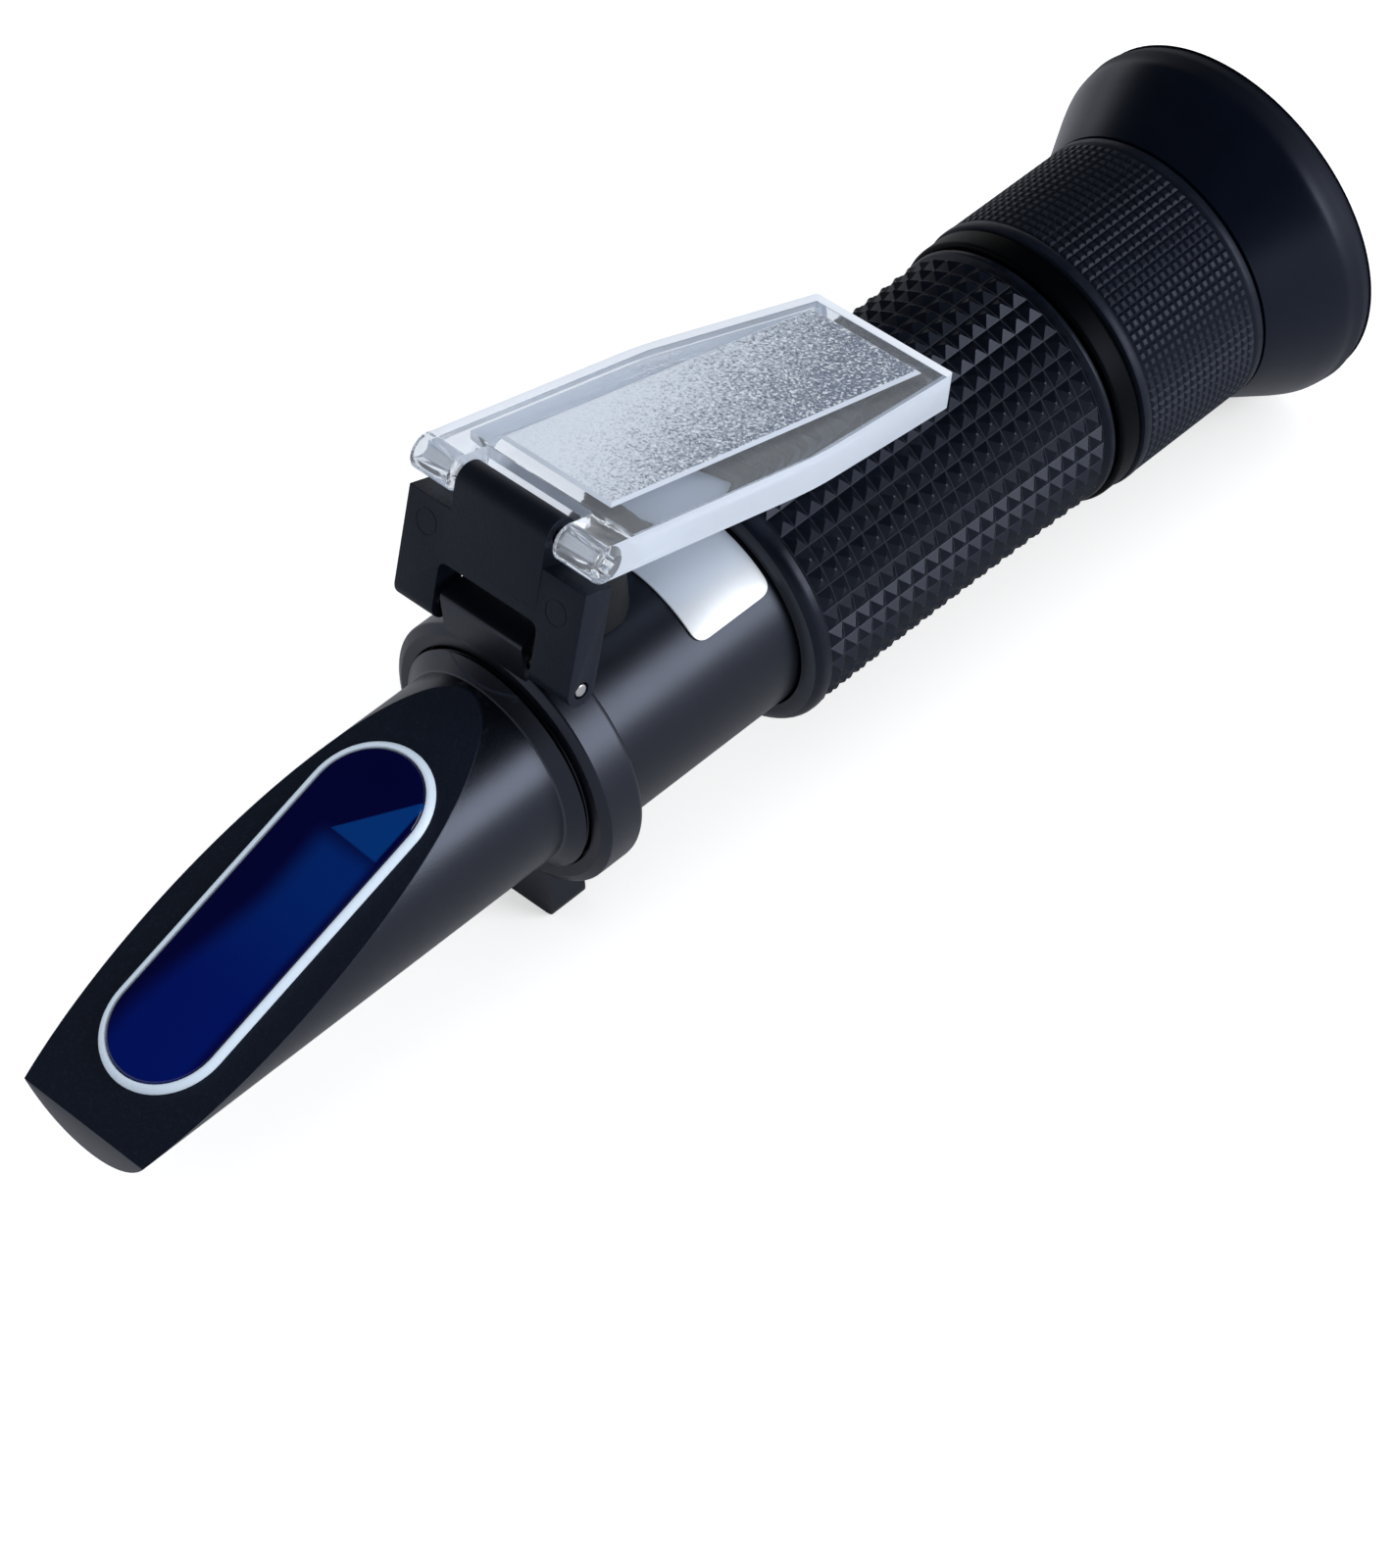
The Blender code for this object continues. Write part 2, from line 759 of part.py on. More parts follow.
def build_screw_bush(brass):
    top = tube_radius + bush_rise
    flange_low = tube_radius + seat_gap
    seat = screw_radius + 2 * bond_gap + o_ring_thickness
    profile = [
        (tube_bore, bush_radius),
        (flange_low, bush_radius),
        (flange_low, bush_flange_radius),
        (flange_low + bush_flange_thickness, bush_flange_radius),
        (flange_low + bush_flange_thickness, bush_radius + seat_gap),
        (top, bush_radius + seat_gap),
        (top, seat),
        (top - bush_seat_depth, seat),
        (top - bush_seat_depth, screw_radius + seat_gap),
        (tube_bore, screw_radius + seat_gap),
    ]
    bush = turned("screw_bush", profile, steps_small, along_x=False)
    return place(bush, brass, instrument, (screw_station, 0, 0))


def build_calibration_screw(brass):
    """A slotted screw whose off-centre pin moves the adjusting slide to and fro."""
    top = tube_radius + bush_rise - bond_gap
    screw = rod("calibration_screw", screw_radius, tube_bore, top, "Z", steps_small)
    place(screw, brass, instrument, (screw_station, 0, 0))
    pin = rod(
        "throw_pin", throw_pin_radius, tube_bore - throw_pin_length, tube_bore + bond_gap, "Z", 12
    )
    shape_with(screw, pin, "UNION", location=(screw_station, -screw_throw, 0))
    slot = block(
        "screw_slot",
        (-2 * screw_radius, -screw_slot_width / 2, top - screw_slot_depth),
        (2 * screw_radius, screw_slot_width / 2, top + overrun),
    )
    shape_with(screw, slot, "DIFFERENCE", location=(screw_station, 0, 0))
    return screw


def build_screw_o_ring(rubber):
    middle = tube_radius + bush_rise - bush_seat_depth + bond_gap + o_ring_thickness / 2
    profile = o_ring_profile(middle, screw_radius + bond_gap, o_ring_thickness)
    ring = turned("screw_o_ring", profile, steps_small, along_x=False)
    return place(ring, rubber, instrument, (screw_station, 0, 0))


def build_adjusting_slide(aluminium):
    """The ring inside the tube that the calibration screw shifts along the axis."""
    profile = ring_profile(slide_start, slide_end, slide_radius, slide_bore)
    slide = place(turned("adjusting_slide", profile, steps_medium), aluminium, instrument)
    half_length = throw_pin_radius + screw_throw + seat_gap
    half_width = throw_pin_radius + seat_gap
    slot = block(
        "throw_slot", (-half_width, -half_length, 0), (half_width, half_length, tube_radius)
    )
    shape_with(slide, slot, "DIFFERENCE", location=(screw_station, 0, 0))
    hole = rod(
        "slide_screw_hole", strip_screw_radius + bond_gap, -tube_radius, 0, "Z", steps_small
    )
    shape_with(slide, hole, "DIFFERENCE", location=(front_screw_station(), 0, 0))
    return slide


def front_screw_station():
    return (strip_start + slide_end) / 2


def rear_screw_station():
    return holder_start + holder_length / 2


def build_bimetal_strip(brass):
    """The strip that bends with temperature and carries the objective at its free end."""
    half = strip_width / 2
    strip = block(
        "bimetal_strip", (strip_start, -half, -strip_bottom), (strip_end, half, -strip_top)
    )
    place(strip, brass, instrument)
    for name, station in (("front", front_screw_station()), ("rear", rear_screw_station())):
        hole = rod(
            f"strip_hole_{name}", strip_screw_radius + bond_gap, -tube_radius, 0, "Z", steps_small
        )
        shape_with(strip, hole, "DIFFERENCE", location=(station, 0, 0))
    return strip


def build_strip_screws(steel):
    """The front screw goes down into the slide, the rear one up into the holder."""
    head_low = bond_gap - strip_top
    front = [
        (-slide_radius, strip_screw_radius),
        (head_low, strip_screw_radius),
        (head_low, strip_head_radius),
        (head_low + strip_head_height, strip_head_radius),
    ]
    head_top = -strip_bottom - bond_gap
    rear = [
        (head_top - strip_head_height, strip_head_radius),
        (head_top, strip_head_radius),
        (head_top, strip_screw_radius),
        (-holder_bore - bond_gap, strip_screw_radius),
    ]
    for name, station, side in (
        ("strip_screw_front", front_screw_station(), front),
        ("strip_screw_rear", rear_screw_station(), rear),
    ):
        profile = [(side[0][0], 0)] + side + [(side[-1][0], 0)]
        screw = turned(name, profile, steps_small, along_x=False)
        place(screw, steel, instrument, (station, 0, 0))


def build_objective_holder(aluminium):
    profile = [
        (holder_start, holder_radius),
        (strip_end, holder_radius),
        (strip_end, holder_bore - holder_lip),
        (strip_end - holder_lip, holder_bore - holder_lip),
        (strip_end - holder_lip, holder_bore),
        (holder_start, holder_bore),
    ]
    holder = place(turned("objective_holder", profile, steps_medium), aluminium, instrument)
    hole = rod(
        "holder_screw_hole", strip_screw_radius + bond_gap, -tube_radius, 0, "Z", steps_small
    )
    shape_with(holder, hole, "DIFFERENCE", location=(rear_screw_station(), 0, 0))
    return holder


def build_objective(glass, black):
    lip_gap = bulge_gap(objective_bulge, retainer_outer, holder_bore - holder_lip)
    middle = strip_end - holder_lip - lip_gap - objective_edge / 2
    profile = lens_profile(middle, retainer_outer, objective_edge, objective_bulge)
    place(turned("objective_lens", profile, steps_medium), glass, instrument)
    ring_gap = bulge_gap(objective_bulge, retainer_outer, retainer_outer - retainer_wall)
    end = middle - objective_edge / 2 - ring_gap
    ring = ring_profile(
        end - retainer_thickness, end, retainer_outer, retainer_outer - retainer_wall
    )
    place(turned("objective_retainer", ring, steps_medium), black, instrument)


def grip_crest(station):
    """Radius over the pyramid tips, which is least at the waist."""
    share = (station - grip_waist_station) / (tube_end - grip_waist_station)
    return grip_waist_radius + (grip_end_radius - grip_waist_radius) * share**2


def build_grip_sleeve(black):
    """The grip: rims at both ends and a field of four-sided pyramids between them."""
    field_start = grip_start + grip_front_rim
    field_end = tube_end - grip_rear_rim
    pitch = (field_end - field_start) / knurl_rows
    inner = tube_radius + seat_gap
    rise = grip_rim_radius - grip_front_radius
    swell = arc((0, 0), 1, 180 * degree, 90 * degree, 4)
    front = [
        (grip_start + (x + 1) * grip_swell_length, grip_front_radius + y * rise) for x, y in swell
    ]
    front += [(field_start - knurl_depth, grip_rim_radius)]
    field = [field_start + pitch * row for row in range(knurl_rows + 1)]
    grooves = [(station, grip_crest(station) - knurl_depth) for station in field]
    rear = [(field_end + knurl_depth, grip_end_radius), (tube_end, grip_end_radius)]
    rings = front + grooves + rear + [(tube_end, inner), (grip_start, inner)]
    bm = bmesh.new()
    step = 2 * math.pi / knurl_around
    rows = [
        [bm.verts.new((x, r * math.cos(k * step), r * math.sin(k * step))) for k in range(knurl_around)]
        for x, r in rings
    ]
    for place_in_list, row in enumerate(rows):
        following = rows[(place_in_list + 1) % len(rows)]
        on_field = len(front) <= place_in_list < len(front) + knurl_rows
        for k in range(knurl_around):
            after = (k + 1) % knurl_around
            corners = (row[k], row[after], following[after], following[k])
            if not on_field:
                bm.faces.new(corners)
                continue
            station = (row[k].co.x + following[k].co.x) / 2
            angle = (k + 0.5) * step
            radius = grip_crest(station)
            tip = bm.verts.new((station, radius * math.cos(angle), radius * math.sin(angle)))
            for first, second in zip(corners, corners[1:] + corners[:1]):
                bm.faces.new((first, second, tip))
    bmesh.ops.recalc_face_normals(bm, faces=bm.faces)
    return place(object_of("grip_sleeve", bm), black, instrument)


def build_eyepiece_guide(black):
    """The neck inside the rear of the tube, on which the focus ring turns."""
    lip_end = reticle_station + reticle_thickness + bond_gap + reticle_lip
    profile = [
        (guide_start, guide_radius),
        (guide_end, guide_radius),
        (guide_end, guide_bore),
        (lip_end, guide_bore),
        (lip_end, guide_bore - reticle_lip),
        (lip_end - reticle_lip, guide_bore - reticle_lip),
        (lip_end - reticle_lip, guide_bore),
        (guide_start, guide_bore),
    ]
    return place(turned("eyepiece_guide", profile, steps_medium), black, instrument)


def build_reticle(glass, black):
    outer = guide_bore - seat_gap
    disc = [
        (reticle_station, 0),
        (reticle_station, outer),
        (reticle_station + reticle_thickness, outer),
        (reticle_station + reticle_thickness, 0),
    ]
    place(turned("reticle_disc", disc, steps_medium), glass, instrument)
    end = reticle_station - bond_gap
    ring = ring_profile(end - retainer_thickness, end, outer, outer - retainer_wall)
    place(turned("reticle_retainer", ring, steps_medium), black, instrument)


def build_lock_ring(gloss_black):
    profile = chamfered_ring(
        lock_ring_start, lock_ring_end, lock_ring_radius, guide_radius + seat_gap, lock_ring_round
    )
    return place(turned("eyepiece_collar", profile, steps_large), gloss_black, instrument)


def build_focus_ring(black):
    """The turning ring, with a recessed band between two plain rims."""
    cup_seat = cup_neck_radius + seat_gap
    seat_start = cup_start - cup_neck_length - 2 * seat_gap
    profile = [
        (focus_start, focus_radius - focus_edge),
        (focus_start + focus_edge, focus_radius),
        (focus_start + focus_rim, focus_radius),
        (focus_start + focus_rim + focus_recess, focus_radius - focus_recess),
        (focus_end - focus_rim - focus_recess, focus_radius - focus_recess),
        (focus_end - focus_rim, focus_radius),
        (focus_end - focus_edge, focus_radius),
        (focus_end, focus_radius - focus_edge),
        (focus_end, cup_seat),
        (seat_start, cup_seat),
        (seat_start, guide_radius + seat_gap),
        (focus_start, guide_radius + seat_gap),
    ]
    return place(turned("focus_ring", profile, steps_large), black, instrument)


def build_eyepiece_tube(black):
    """The sliding tube that holds the field lens and the eye lens."""
    groove_start = eye_tube_start + eye_o_ring_place
    groove_end = groove_start + eye_o_ring_thickness + 2 * bond_gap
    groove_radius = eye_tube_radius - eye_tube_wall / 2
    profile = [
        (eye_tube_start, eye_tube_radius),
        (groove_start, eye_tube_radius),
        (groove_start, groove_radius),
        (groove_end, groove_radius),
        (groove_end, eye_tube_radius),
        (eye_tube_end, eye_tube_radius),
        (eye_tube_end, eye_tube_bore),
        (eye_tube_start + eye_tube_wall, eye_tube_bore),
        (eye_tube_start + eye_tube_wall, eye_tube_bore - eye_tube_wall),
        (eye_tube_start, eye_tube_bore - eye_tube_wall),
    ]
    return place(turned("eyepiece_tube", profile, steps_medium), black, instrument)


def build_eyepiece_o_ring(rubber):
    """The ring in the eyepiece tube's groove, no thicker than the groove and its clearance."""
    groove_radius = eye_tube_radius - eye_tube_wall / 2
    depth = guide_bore - groove_radius - 2 * bond_gap
    middle = eye_tube_start + eye_o_ring_place + bond_gap + eye_o_ring_thickness / 2
    half = min(depth, eye_o_ring_thickness) / 2
    profile = o_ring_profile(middle, groove_radius + bond_gap, 2 * half)
    return place(turned("eyepiece_o_ring", profile, steps_medium), rubber, instrument)


def build_eyepiece_lenses(glass, black):
    """Field lens, spacer, eye lens and retainer, stacked in the eyepiece tube."""
    radius = eye_tube_bore - bond_gap
    lip_gap = bulge_gap(field_lens_bulge, radius, eye_tube_bore - eye_tube_wall)
    field_middle = eye_tube_start + eye_tube_wall + lip_gap + field_lens_edge / 2
    field = lens_profile(field_middle, radius, field_lens_edge, field_lens_bulge)
    place(turned("field_lens", field, steps_medium), glass, instrument)
    retainer_end = eye_tube_end
    retainer_start = retainer_end - retainer_thickness
    ring_gap = bulge_gap(eye_lens_bulge, radius, radius - retainer_wall)
    eye_middle = retainer_start - ring_gap - eye_lens_edge / 2
    eye = lens_profile(eye_middle, radius, eye_lens_edge, eye_lens_bulge)
    place(turned("eye_lens", eye, steps_medium), glass, instrument)
    spacer = ring_profile(
        field_middle + field_lens_edge / 2 + bulge_gap(field_lens_bulge, radius, radius - spacer_wall),
        eye_middle - eye_lens_edge / 2 - bulge_gap(eye_lens_bulge, radius, radius - spacer_wall),
        radius,
        radius - spacer_wall,
    )
    place(turned("lens_spacer", spacer, steps_medium), black, instrument)
    ring = ring_profile(retainer_start, retainer_end, radius, radius - retainer_wall)
    place(turned("eye_lens_retainer", ring, steps_medium), black, instrument)


def build_eyecup(gloss_black):
    """The flared cup with a turned lip, a ribbed inner cone and a neck in the focus ring."""
    flare = [
        (
            cup_start + cup_length * station,
            focus_radius + (rim_radius - focus_radius) * radius,
        )
        for station, radius in zip(flare_station_shares, flare_radius_shares)
    ]
    end = overall_length
    mouth = rim_radius - cup_mouth_wall
    lip = [(end - cup_lip, rim_radius), (end, rim_radius - cup_lip), (end, mouth + cup_lip / 2)]
    lip += [(end - cup_lip, mouth)]
    floor = cup_start + cup_floor
    cone = []
    for rib in range(cup_ribs):
        near, far = [1 - (rib + share) / cup_ribs for share in rib_edge_shares]
        for share, height in ((near, 0), (near, cup_rib_height), (far, cup_rib_height), (far, 0)):
            station = floor + (end - cup_lip - floor) * share
            radius = cup_well_radius + (mouth - cup_well_radius) * share
            cone.append((station, radius - height))
    neck_start = cup_start - cup_neck_length
    neck_bore = cup_neck_radius - cup_neck_wall
    floor_edge = [(floor, cup_well_radius), (floor, cup_sight_radius)]
    neck = [
        (cup_start, cup_sight_radius),
        (cup_start, neck_bore),
        (neck_start, neck_bore),
        (neck_start, cup_neck_radius),
        (cup_start, cup_neck_radius),
    ]
    profile = flare + lip + cone + floor_edge + neck
    return place(turned("eyecup", profile, steps_large), gloss_black, instrument)


clear_scene()
parts = new_collection("handheld_refractometer")
cutters = new_collection("cutters")

instrument = new_empty("instrument", None, (-overall_length / 2, 0, axis_height))
slant_face = new_empty("slant_face", instrument, (0, 0, -tip_drop), -slant_angle)
arm_hinge = new_empty("arm_hinge", instrument, (hinge_station, 0, hinge_height), -arm_rest_angle)
plate_hinge = new_empty(
    "plate_hinge", arm_hinge, (arm_length, 0, 0), arm_rest_angle - plate_rest_angle
)

satin_black = new_material("satin_black", (0.02, 0.021, 0.024), 0.38)
matte_black = new_material("matte_black", (0.018, 0.018, 0.019), 0.62)
gloss_black = new_material("gloss_black", (0.012, 0.012, 0.013), 0.12)
black_rubber = new_material("black_rubber", (0.022, 0.022, 0.022), 0.75)
clear_plastic = new_material("clear_plastic", (0.92, 0.94, 0.95), 0.12, transmission=0.9)
optical_glass = new_material("optical_glass", (0.95, 0.97, 0.98), 0.03, transmission=1.0)
blue_glass = new_material("blue_glass", (0.02, 0.09, 0.35), 0.04)
white_seal = new_material("white_seal", (0.86, 0.87, 0.88), 0.45)
label_silver = new_material("label_silver", (0.66, 0.67, 0.69), 0.35, metallic=0.7)
bright_steel = new_material("bright_steel", (0.62, 0.62, 0.63), 0.25, metallic=1.0)
brass = new_material("brass", (0.72, 0.53, 0.24), 0.3, metallic=1.0)
black_aluminium = new_material("black_aluminium", (0.03, 0.03, 0.033), 0.45, metallic=0.6)

build_prism_housing(satin_black)
build_measuring_prism(blue_glass)
build_prism_seal(white_seal)
build_prism_baffle(satin_black)
build_hinge_collar(satin_black)
build_collar_screw(bright_steel)
build_arm_pin(bright_steel)
build_flap_arm(matte_black)
build_plate_pin(bright_steel)
build_daylight_plate(clear_plastic)
build_main_tube(satin_black)
build_label_plate(label_silver)
build_calibration_cap(black_rubber)
build_screw_bush(brass)
build_calibration_screw(brass)
build_screw_o_ring(black_rubber)
build_adjusting_slide(black_aluminium)
build_bimetal_strip(brass)
build_strip_screws(bright_steel)
build_objective_holder(black_aluminium)
build_objective(optical_glass, satin_black)
build_grip_sleeve(satin_black)
build_eyepiece_guide(black_aluminium)
build_reticle(optical_glass, satin_black)
build_lock_ring(gloss_black)
build_focus_ring(satin_black)
build_eyepiece_tube(black_aluminium)
build_eyepiece_o_ring(black_rubber)
build_eyepiece_lenses(optical_glass, satin_black)
build_eyecup(gloss_black)
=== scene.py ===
import math

import bmesh
import bpy
from mathutils import Matrix, Vector


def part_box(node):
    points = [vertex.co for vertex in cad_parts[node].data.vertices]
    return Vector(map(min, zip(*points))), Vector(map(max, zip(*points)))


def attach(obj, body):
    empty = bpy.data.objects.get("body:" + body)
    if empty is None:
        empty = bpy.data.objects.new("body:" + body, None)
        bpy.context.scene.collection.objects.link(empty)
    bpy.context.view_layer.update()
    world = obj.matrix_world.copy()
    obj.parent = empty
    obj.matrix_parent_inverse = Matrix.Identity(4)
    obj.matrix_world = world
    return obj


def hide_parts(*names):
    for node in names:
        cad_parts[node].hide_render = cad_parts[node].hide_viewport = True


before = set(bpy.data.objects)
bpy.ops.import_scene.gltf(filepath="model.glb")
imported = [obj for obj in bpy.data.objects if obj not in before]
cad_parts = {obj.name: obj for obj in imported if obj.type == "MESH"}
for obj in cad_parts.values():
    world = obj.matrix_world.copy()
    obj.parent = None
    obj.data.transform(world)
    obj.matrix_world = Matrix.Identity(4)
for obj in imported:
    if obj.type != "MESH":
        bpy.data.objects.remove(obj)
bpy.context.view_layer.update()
print("frame loaded")

# Sizes are in mm. Stations run along the optical axis from the nose tip, heights from the axis.
axisHeight = 20.2
halfLength = 80.0
bodyFrame = Matrix.Translation((-halfLength / 1000, 0, axisHeight / 1000)) @ Matrix.Scale(0.001, 4)


def frameOn(parent, station, height, turn):
    return parent @ Matrix.Translation((station, 0, height)) @ Matrix.Rotation(math.radians(turn), 4, "Y")


slant = 18.46
tipDrop = 6.565
slantFrame = frameOn(bodyFrame, 0, -tipDrop, -slant)
armFrame = frameOn(bodyFrame, 55.9, 15.55, -70.5)
trayFrame = frameOn(armFrame, 13.8, 0, 70.5 + 15.3)
# Turns a drawing in x and y to face along the axis
facingAxis = Matrix(((0, 0, 1, 0), (1, 0, 0, 0), (0, 1, 0, 0), (0, 0, 0, 1)))


# Node trees

class Wire:
    # One socket of a node tree. Arithmetic on it adds Math nodes.
    def __init__(self, tree, socket):
        self.tree = tree
        self.socket = socket

    def math(self, operation, first, second=None):
        node = self.tree.nodes.new("ShaderNodeMath")
        node.operation = operation
        feed(self.tree, node.inputs[0], first)
        if second is not None:
            feed(self.tree, node.inputs[1], second)
        return Wire(self.tree, node.outputs[0])

    def __getitem__(self, key):
        # another output of the same node
        return Wire(self.tree, self.socket.node.outputs[key])

    def __add__(self, other): return self.math("ADD", self, other)
    def __radd__(self, other): return self.math("ADD", other, self)
    def __sub__(self, other): return self.math("SUBTRACT", self, other)
    def __rsub__(self, other): return self.math("SUBTRACT", other, self)
    def __mul__(self, other): return self.math("MULTIPLY", self, other)
    def __rmul__(self, other): return self.math("MULTIPLY", other, self)
    def __truediv__(self, other): return self.math("DIVIDE", self, other)
    def __rtruediv__(self, other): return self.math("DIVIDE", other, self)
    def __pow__(self, other): return self.math("POWER", self, other)
    def __mod__(self, other): return self.math("MODULO", self, other)
    def __lt__(self, other): return self.math("LESS_THAN", self, other)
    def __abs__(self): return self.math("ABSOLUTE", self)
    def floor(self): return self.math("FLOOR", self)
    def sine(self): return self.math("SINE", self)
    def cosine(self): return self.math("COSINE", self)
    def least(self, other): return self.math("MINIMUM", self, other)
    def most(self, other): return self.math("MAXIMUM", self, other)


def feed(tree, slot, value):
    if isinstance(value, Wire):
        tree.links.new(value.socket, slot)
    elif isinstance(value, tuple) and len(value) == 3 and slot.type == "RGBA":
        slot.default_value = (*value, 1)
    else:
        slot.default_value = value


class Sheet:
    # A node tree while it is being drawn
    def __init__(self, tree):
        self.tree = tree

    def add(self, kind, settings=None, inputs=None, output=0):
        node = self.tree.nodes.new(kind)
        for key, value in (settings or {}).items():
            setattr(node, key, value)
        for key, value in (inputs or {}).items():
            feed(self.tree, node.inputs[key], value)
        return Wire(self.tree, node.outputs[output])

    def vector(self, x=0.0, y=0.0, z=0.0):
        return self.add("ShaderNodeCombineXYZ", None, {"X": x, "Y": y, "Z": z})

    def between(self, value, low, high):
        # 0 at low and 1 at high, with a soft start and end
        return self.add("ShaderNodeMapRange", {"interpolation_type": "SMOOTHSTEP"}, {
            "Value": value, "From Min": low, "From Max": high})


class Finish(Sheet):
    # A material with the measures that most of the finishes here use
    def __init__(self, name):
        self.material = bpy.data.materials.new(name)
        self.material.use_nodes = True
        super().__init__(self.material.node_tree)
        self.shader = self.tree.nodes["Principled BSDF"]
        place = self.add("ShaderNodeTexCoord", output="Object")
        self.mm = self.add("ShaderNodeVectorMath", {"operation": "SCALE"}, {0: place, "Scale": 1000.0})
        split = self.add("ShaderNodeSeparateXYZ", None, {0: self.mm})
        self.station = split + halfLength
        self.across = split["Y"]
        self.height = split["Z"] - axisHeight
        self.radius = (self.across * self.across + self.height * self.height) ** 0.5
        self.angle = self.across.math("ARCTAN2", self.across, self.height)

    def noise(self, scale, detail=3.0, roughness=0.55, where=None, distortion=0.0):
        return self.add("ShaderNodeTexNoise", None, {"Vector": where or self.mm, "Scale": scale,
                        "Detail": detail, "Roughness": roughness, "Distortion": distortion})

    def cells(self, scale):
        return self.add("ShaderNodeTexVoronoi", None, {"Vector": self.mm, "Scale": scale})

    def near(self, value, middle, reach):
        return self.between(abs(value - middle), reach, 0.0)

    def mix(self, share, first, second):
        return self.add("ShaderNodeMix", {"data_type": "RGBA"}, {0: share, 6: first, 7: second}, output=2)

    def bump(self, height, depth):
        # depth is the relief in mm of a height from 0 to 1
        return self.add("ShaderNodeBump", None, {"Height": height, "Distance": depth / 1000, "Strength": 1.0})

    def finish(self, **sockets):
        names = {"colour": "Base Color", "roughness": "Roughness", "metallic": "Metallic", "normal": "Normal",
                 "coat": "Coat Weight", "coatRoughness": "Coat Roughness", "specular": "Specular IOR Level",
                 "tint": "Specular Tint", "ior": "IOR", "transmission": "Transmission Weight",
                 "glow": "Emission Color", "glowStrength": "Emission Strength"}
        for key, value in sockets.items():
            feed(self.tree, self.shader.inputs[names[key]], value)
        return self.material


# Finishes

blueGleam = (0.68, 0.76, 1.0)  # the cool gleam of the black paints


def satinPaint(name, dark=(0.0008, 0.0014, 0.0034), rough=0.33, specular=0.52):
    # Baked satin enamel: a fine peel, faint cloudiness and a few rough specks
    paint = Finish(name)
    cloud = paint.noise(0.12, 3)
    peel = paint.noise(6.5, 2)
    speck = paint.between(paint.noise(3.1, 5, 0.7), 0.70, 0.78)
    colour = paint.mix(cloud, dark, (0.0018, 0.0028, 0.0058))
    colour = paint.mix(speck * 0.05, colour, (0.13, 0.14, 0.16))
    roughness = rough + (cloud - 0.5) * 0.08 + speck * 0.10
    return paint.finish(colour=colour, roughness=roughness, normal=paint.bump(peel, 0.006), specular=specular,
                        tint=blueGleam)


def castPaint(name):
    # The nose: smooth on the round flank, finely grained on the slanted face, with a painted highlight line
    # round the shoulder
    paint = Finish(name)
    a = math.radians(slant)
    # depth is the distance from the plane of the slanted face
    depth = (paint.height + tipDrop) * math.cos(a) - paint.station * math.sin(a)
    onSlant = paint.near(depth, 0.0, 0.12)
    grain = paint.noise(3.4, 3, 0.7)
    fine = paint.noise(7.0, 3, 0.6)
    cloud = paint.noise(0.1, 3)
    rim = paint.between(paint.noise(0.8, 4), 0.5, 0.75) * paint.near(depth, -0.22, 0.18)
    # painted highlight: a thin light line round the rim of the flank at the shoulder
    shoulder = paint.near(paint.station, 52.75, 0.12)
    colour = paint.mix(cloud, (0.0010, 0.0018, 0.0040), (0.0020, 0.0032, 0.0064))
    colour = paint.mix(onSlant, colour, (0.0004, 0.0046, 0.0175))
    colour = paint.mix(onSlant * paint.between(grain, 0.50, 0.68), colour, (0.0034, 0.0105, 0.0270))
    # lighter patches along the slanted face's edge, and the painted highlight at the shoulder, share one
    # light grey
    colour = paint.mix(rim * 0.2 + shoulder * 0.3, colour, (0.08, 0.09, 0.11))
    roughness = 0.31 + (cloud - 0.5) * 0.08 + onSlant * 0.26
    height = fine * (1 - onSlant) * 0.85 + grain * onSlant
    return paint.finish(colour=colour, roughness=roughness, normal=paint.bump(height, 0.014), specular=0.56,
                        tint=blueGleam)


def grainedPlastic(name):
    # Spark-eroded texture on the moulded yoke
    skin = Finish(name)
    grain = skin.noise(3.4, 4, 0.65)
    pits = skin.cells(3.0)
    cloud = skin.noise(0.15, 3)
    colour = skin.mix(cloud, (0.0020, 0.0042, 0.0098), (0.0032, 0.0060, 0.0130))
    colour = skin.mix(skin.between(grain, 0.6, 0.8) * 0.4, colour, (0.009, 0.012, 0.019))
    height = grain * 0.7 + pits * 0.5
    return skin.finish(colour=colour, roughness=0.52 + (grain - 0.5) * 0.2, normal=skin.bump(height, 0.022),
                       specular=0.31, tint=blueGleam)


def gripRubber(name, crest, depth, rise=0.0, waist=99.0, end=126.5, dark=(0.0010, 0.0022, 0.0056), rough=0.38,
               grooveShare=0.6):
    # Pale lines in the grooves between the pyramids, and a little polish on their tips
    rubber = Finish(name)
    share = (rubber.station - waist) / (end - waist)
    tip = (rubber.radius - (share * share * rise + crest)) / depth + 1
    cloud = rubber.noise(0.25, 3)
    fine = rubber.noise(7.0, 3, 0.65)
    worn = rubber.between(tip, 0.75, 0.98) * rubber.between(rubber.noise(0.5, 3), 0.35, 0.7)
    groove = rubber.between(tip, 0.10, 0.0)
    colour = rubber.mix(cloud, dark, tuple(c * 1.7 for c in dark))
    colour = rubber.mix(worn * 0.3, colour, (0.012, 0.015, 0.022))
    colour = rubber.mix(groove * grooveShare, colour, (0.045, 0.050, 0.062))
    roughness = rough + (cloud - 0.5) * 0.1 - worn * 0.06
    return rubber.finish(colour=colour, roughness=roughness, normal=rubber.bump(fine, 0.006), specular=0.28,
                         tint=blueGleam)


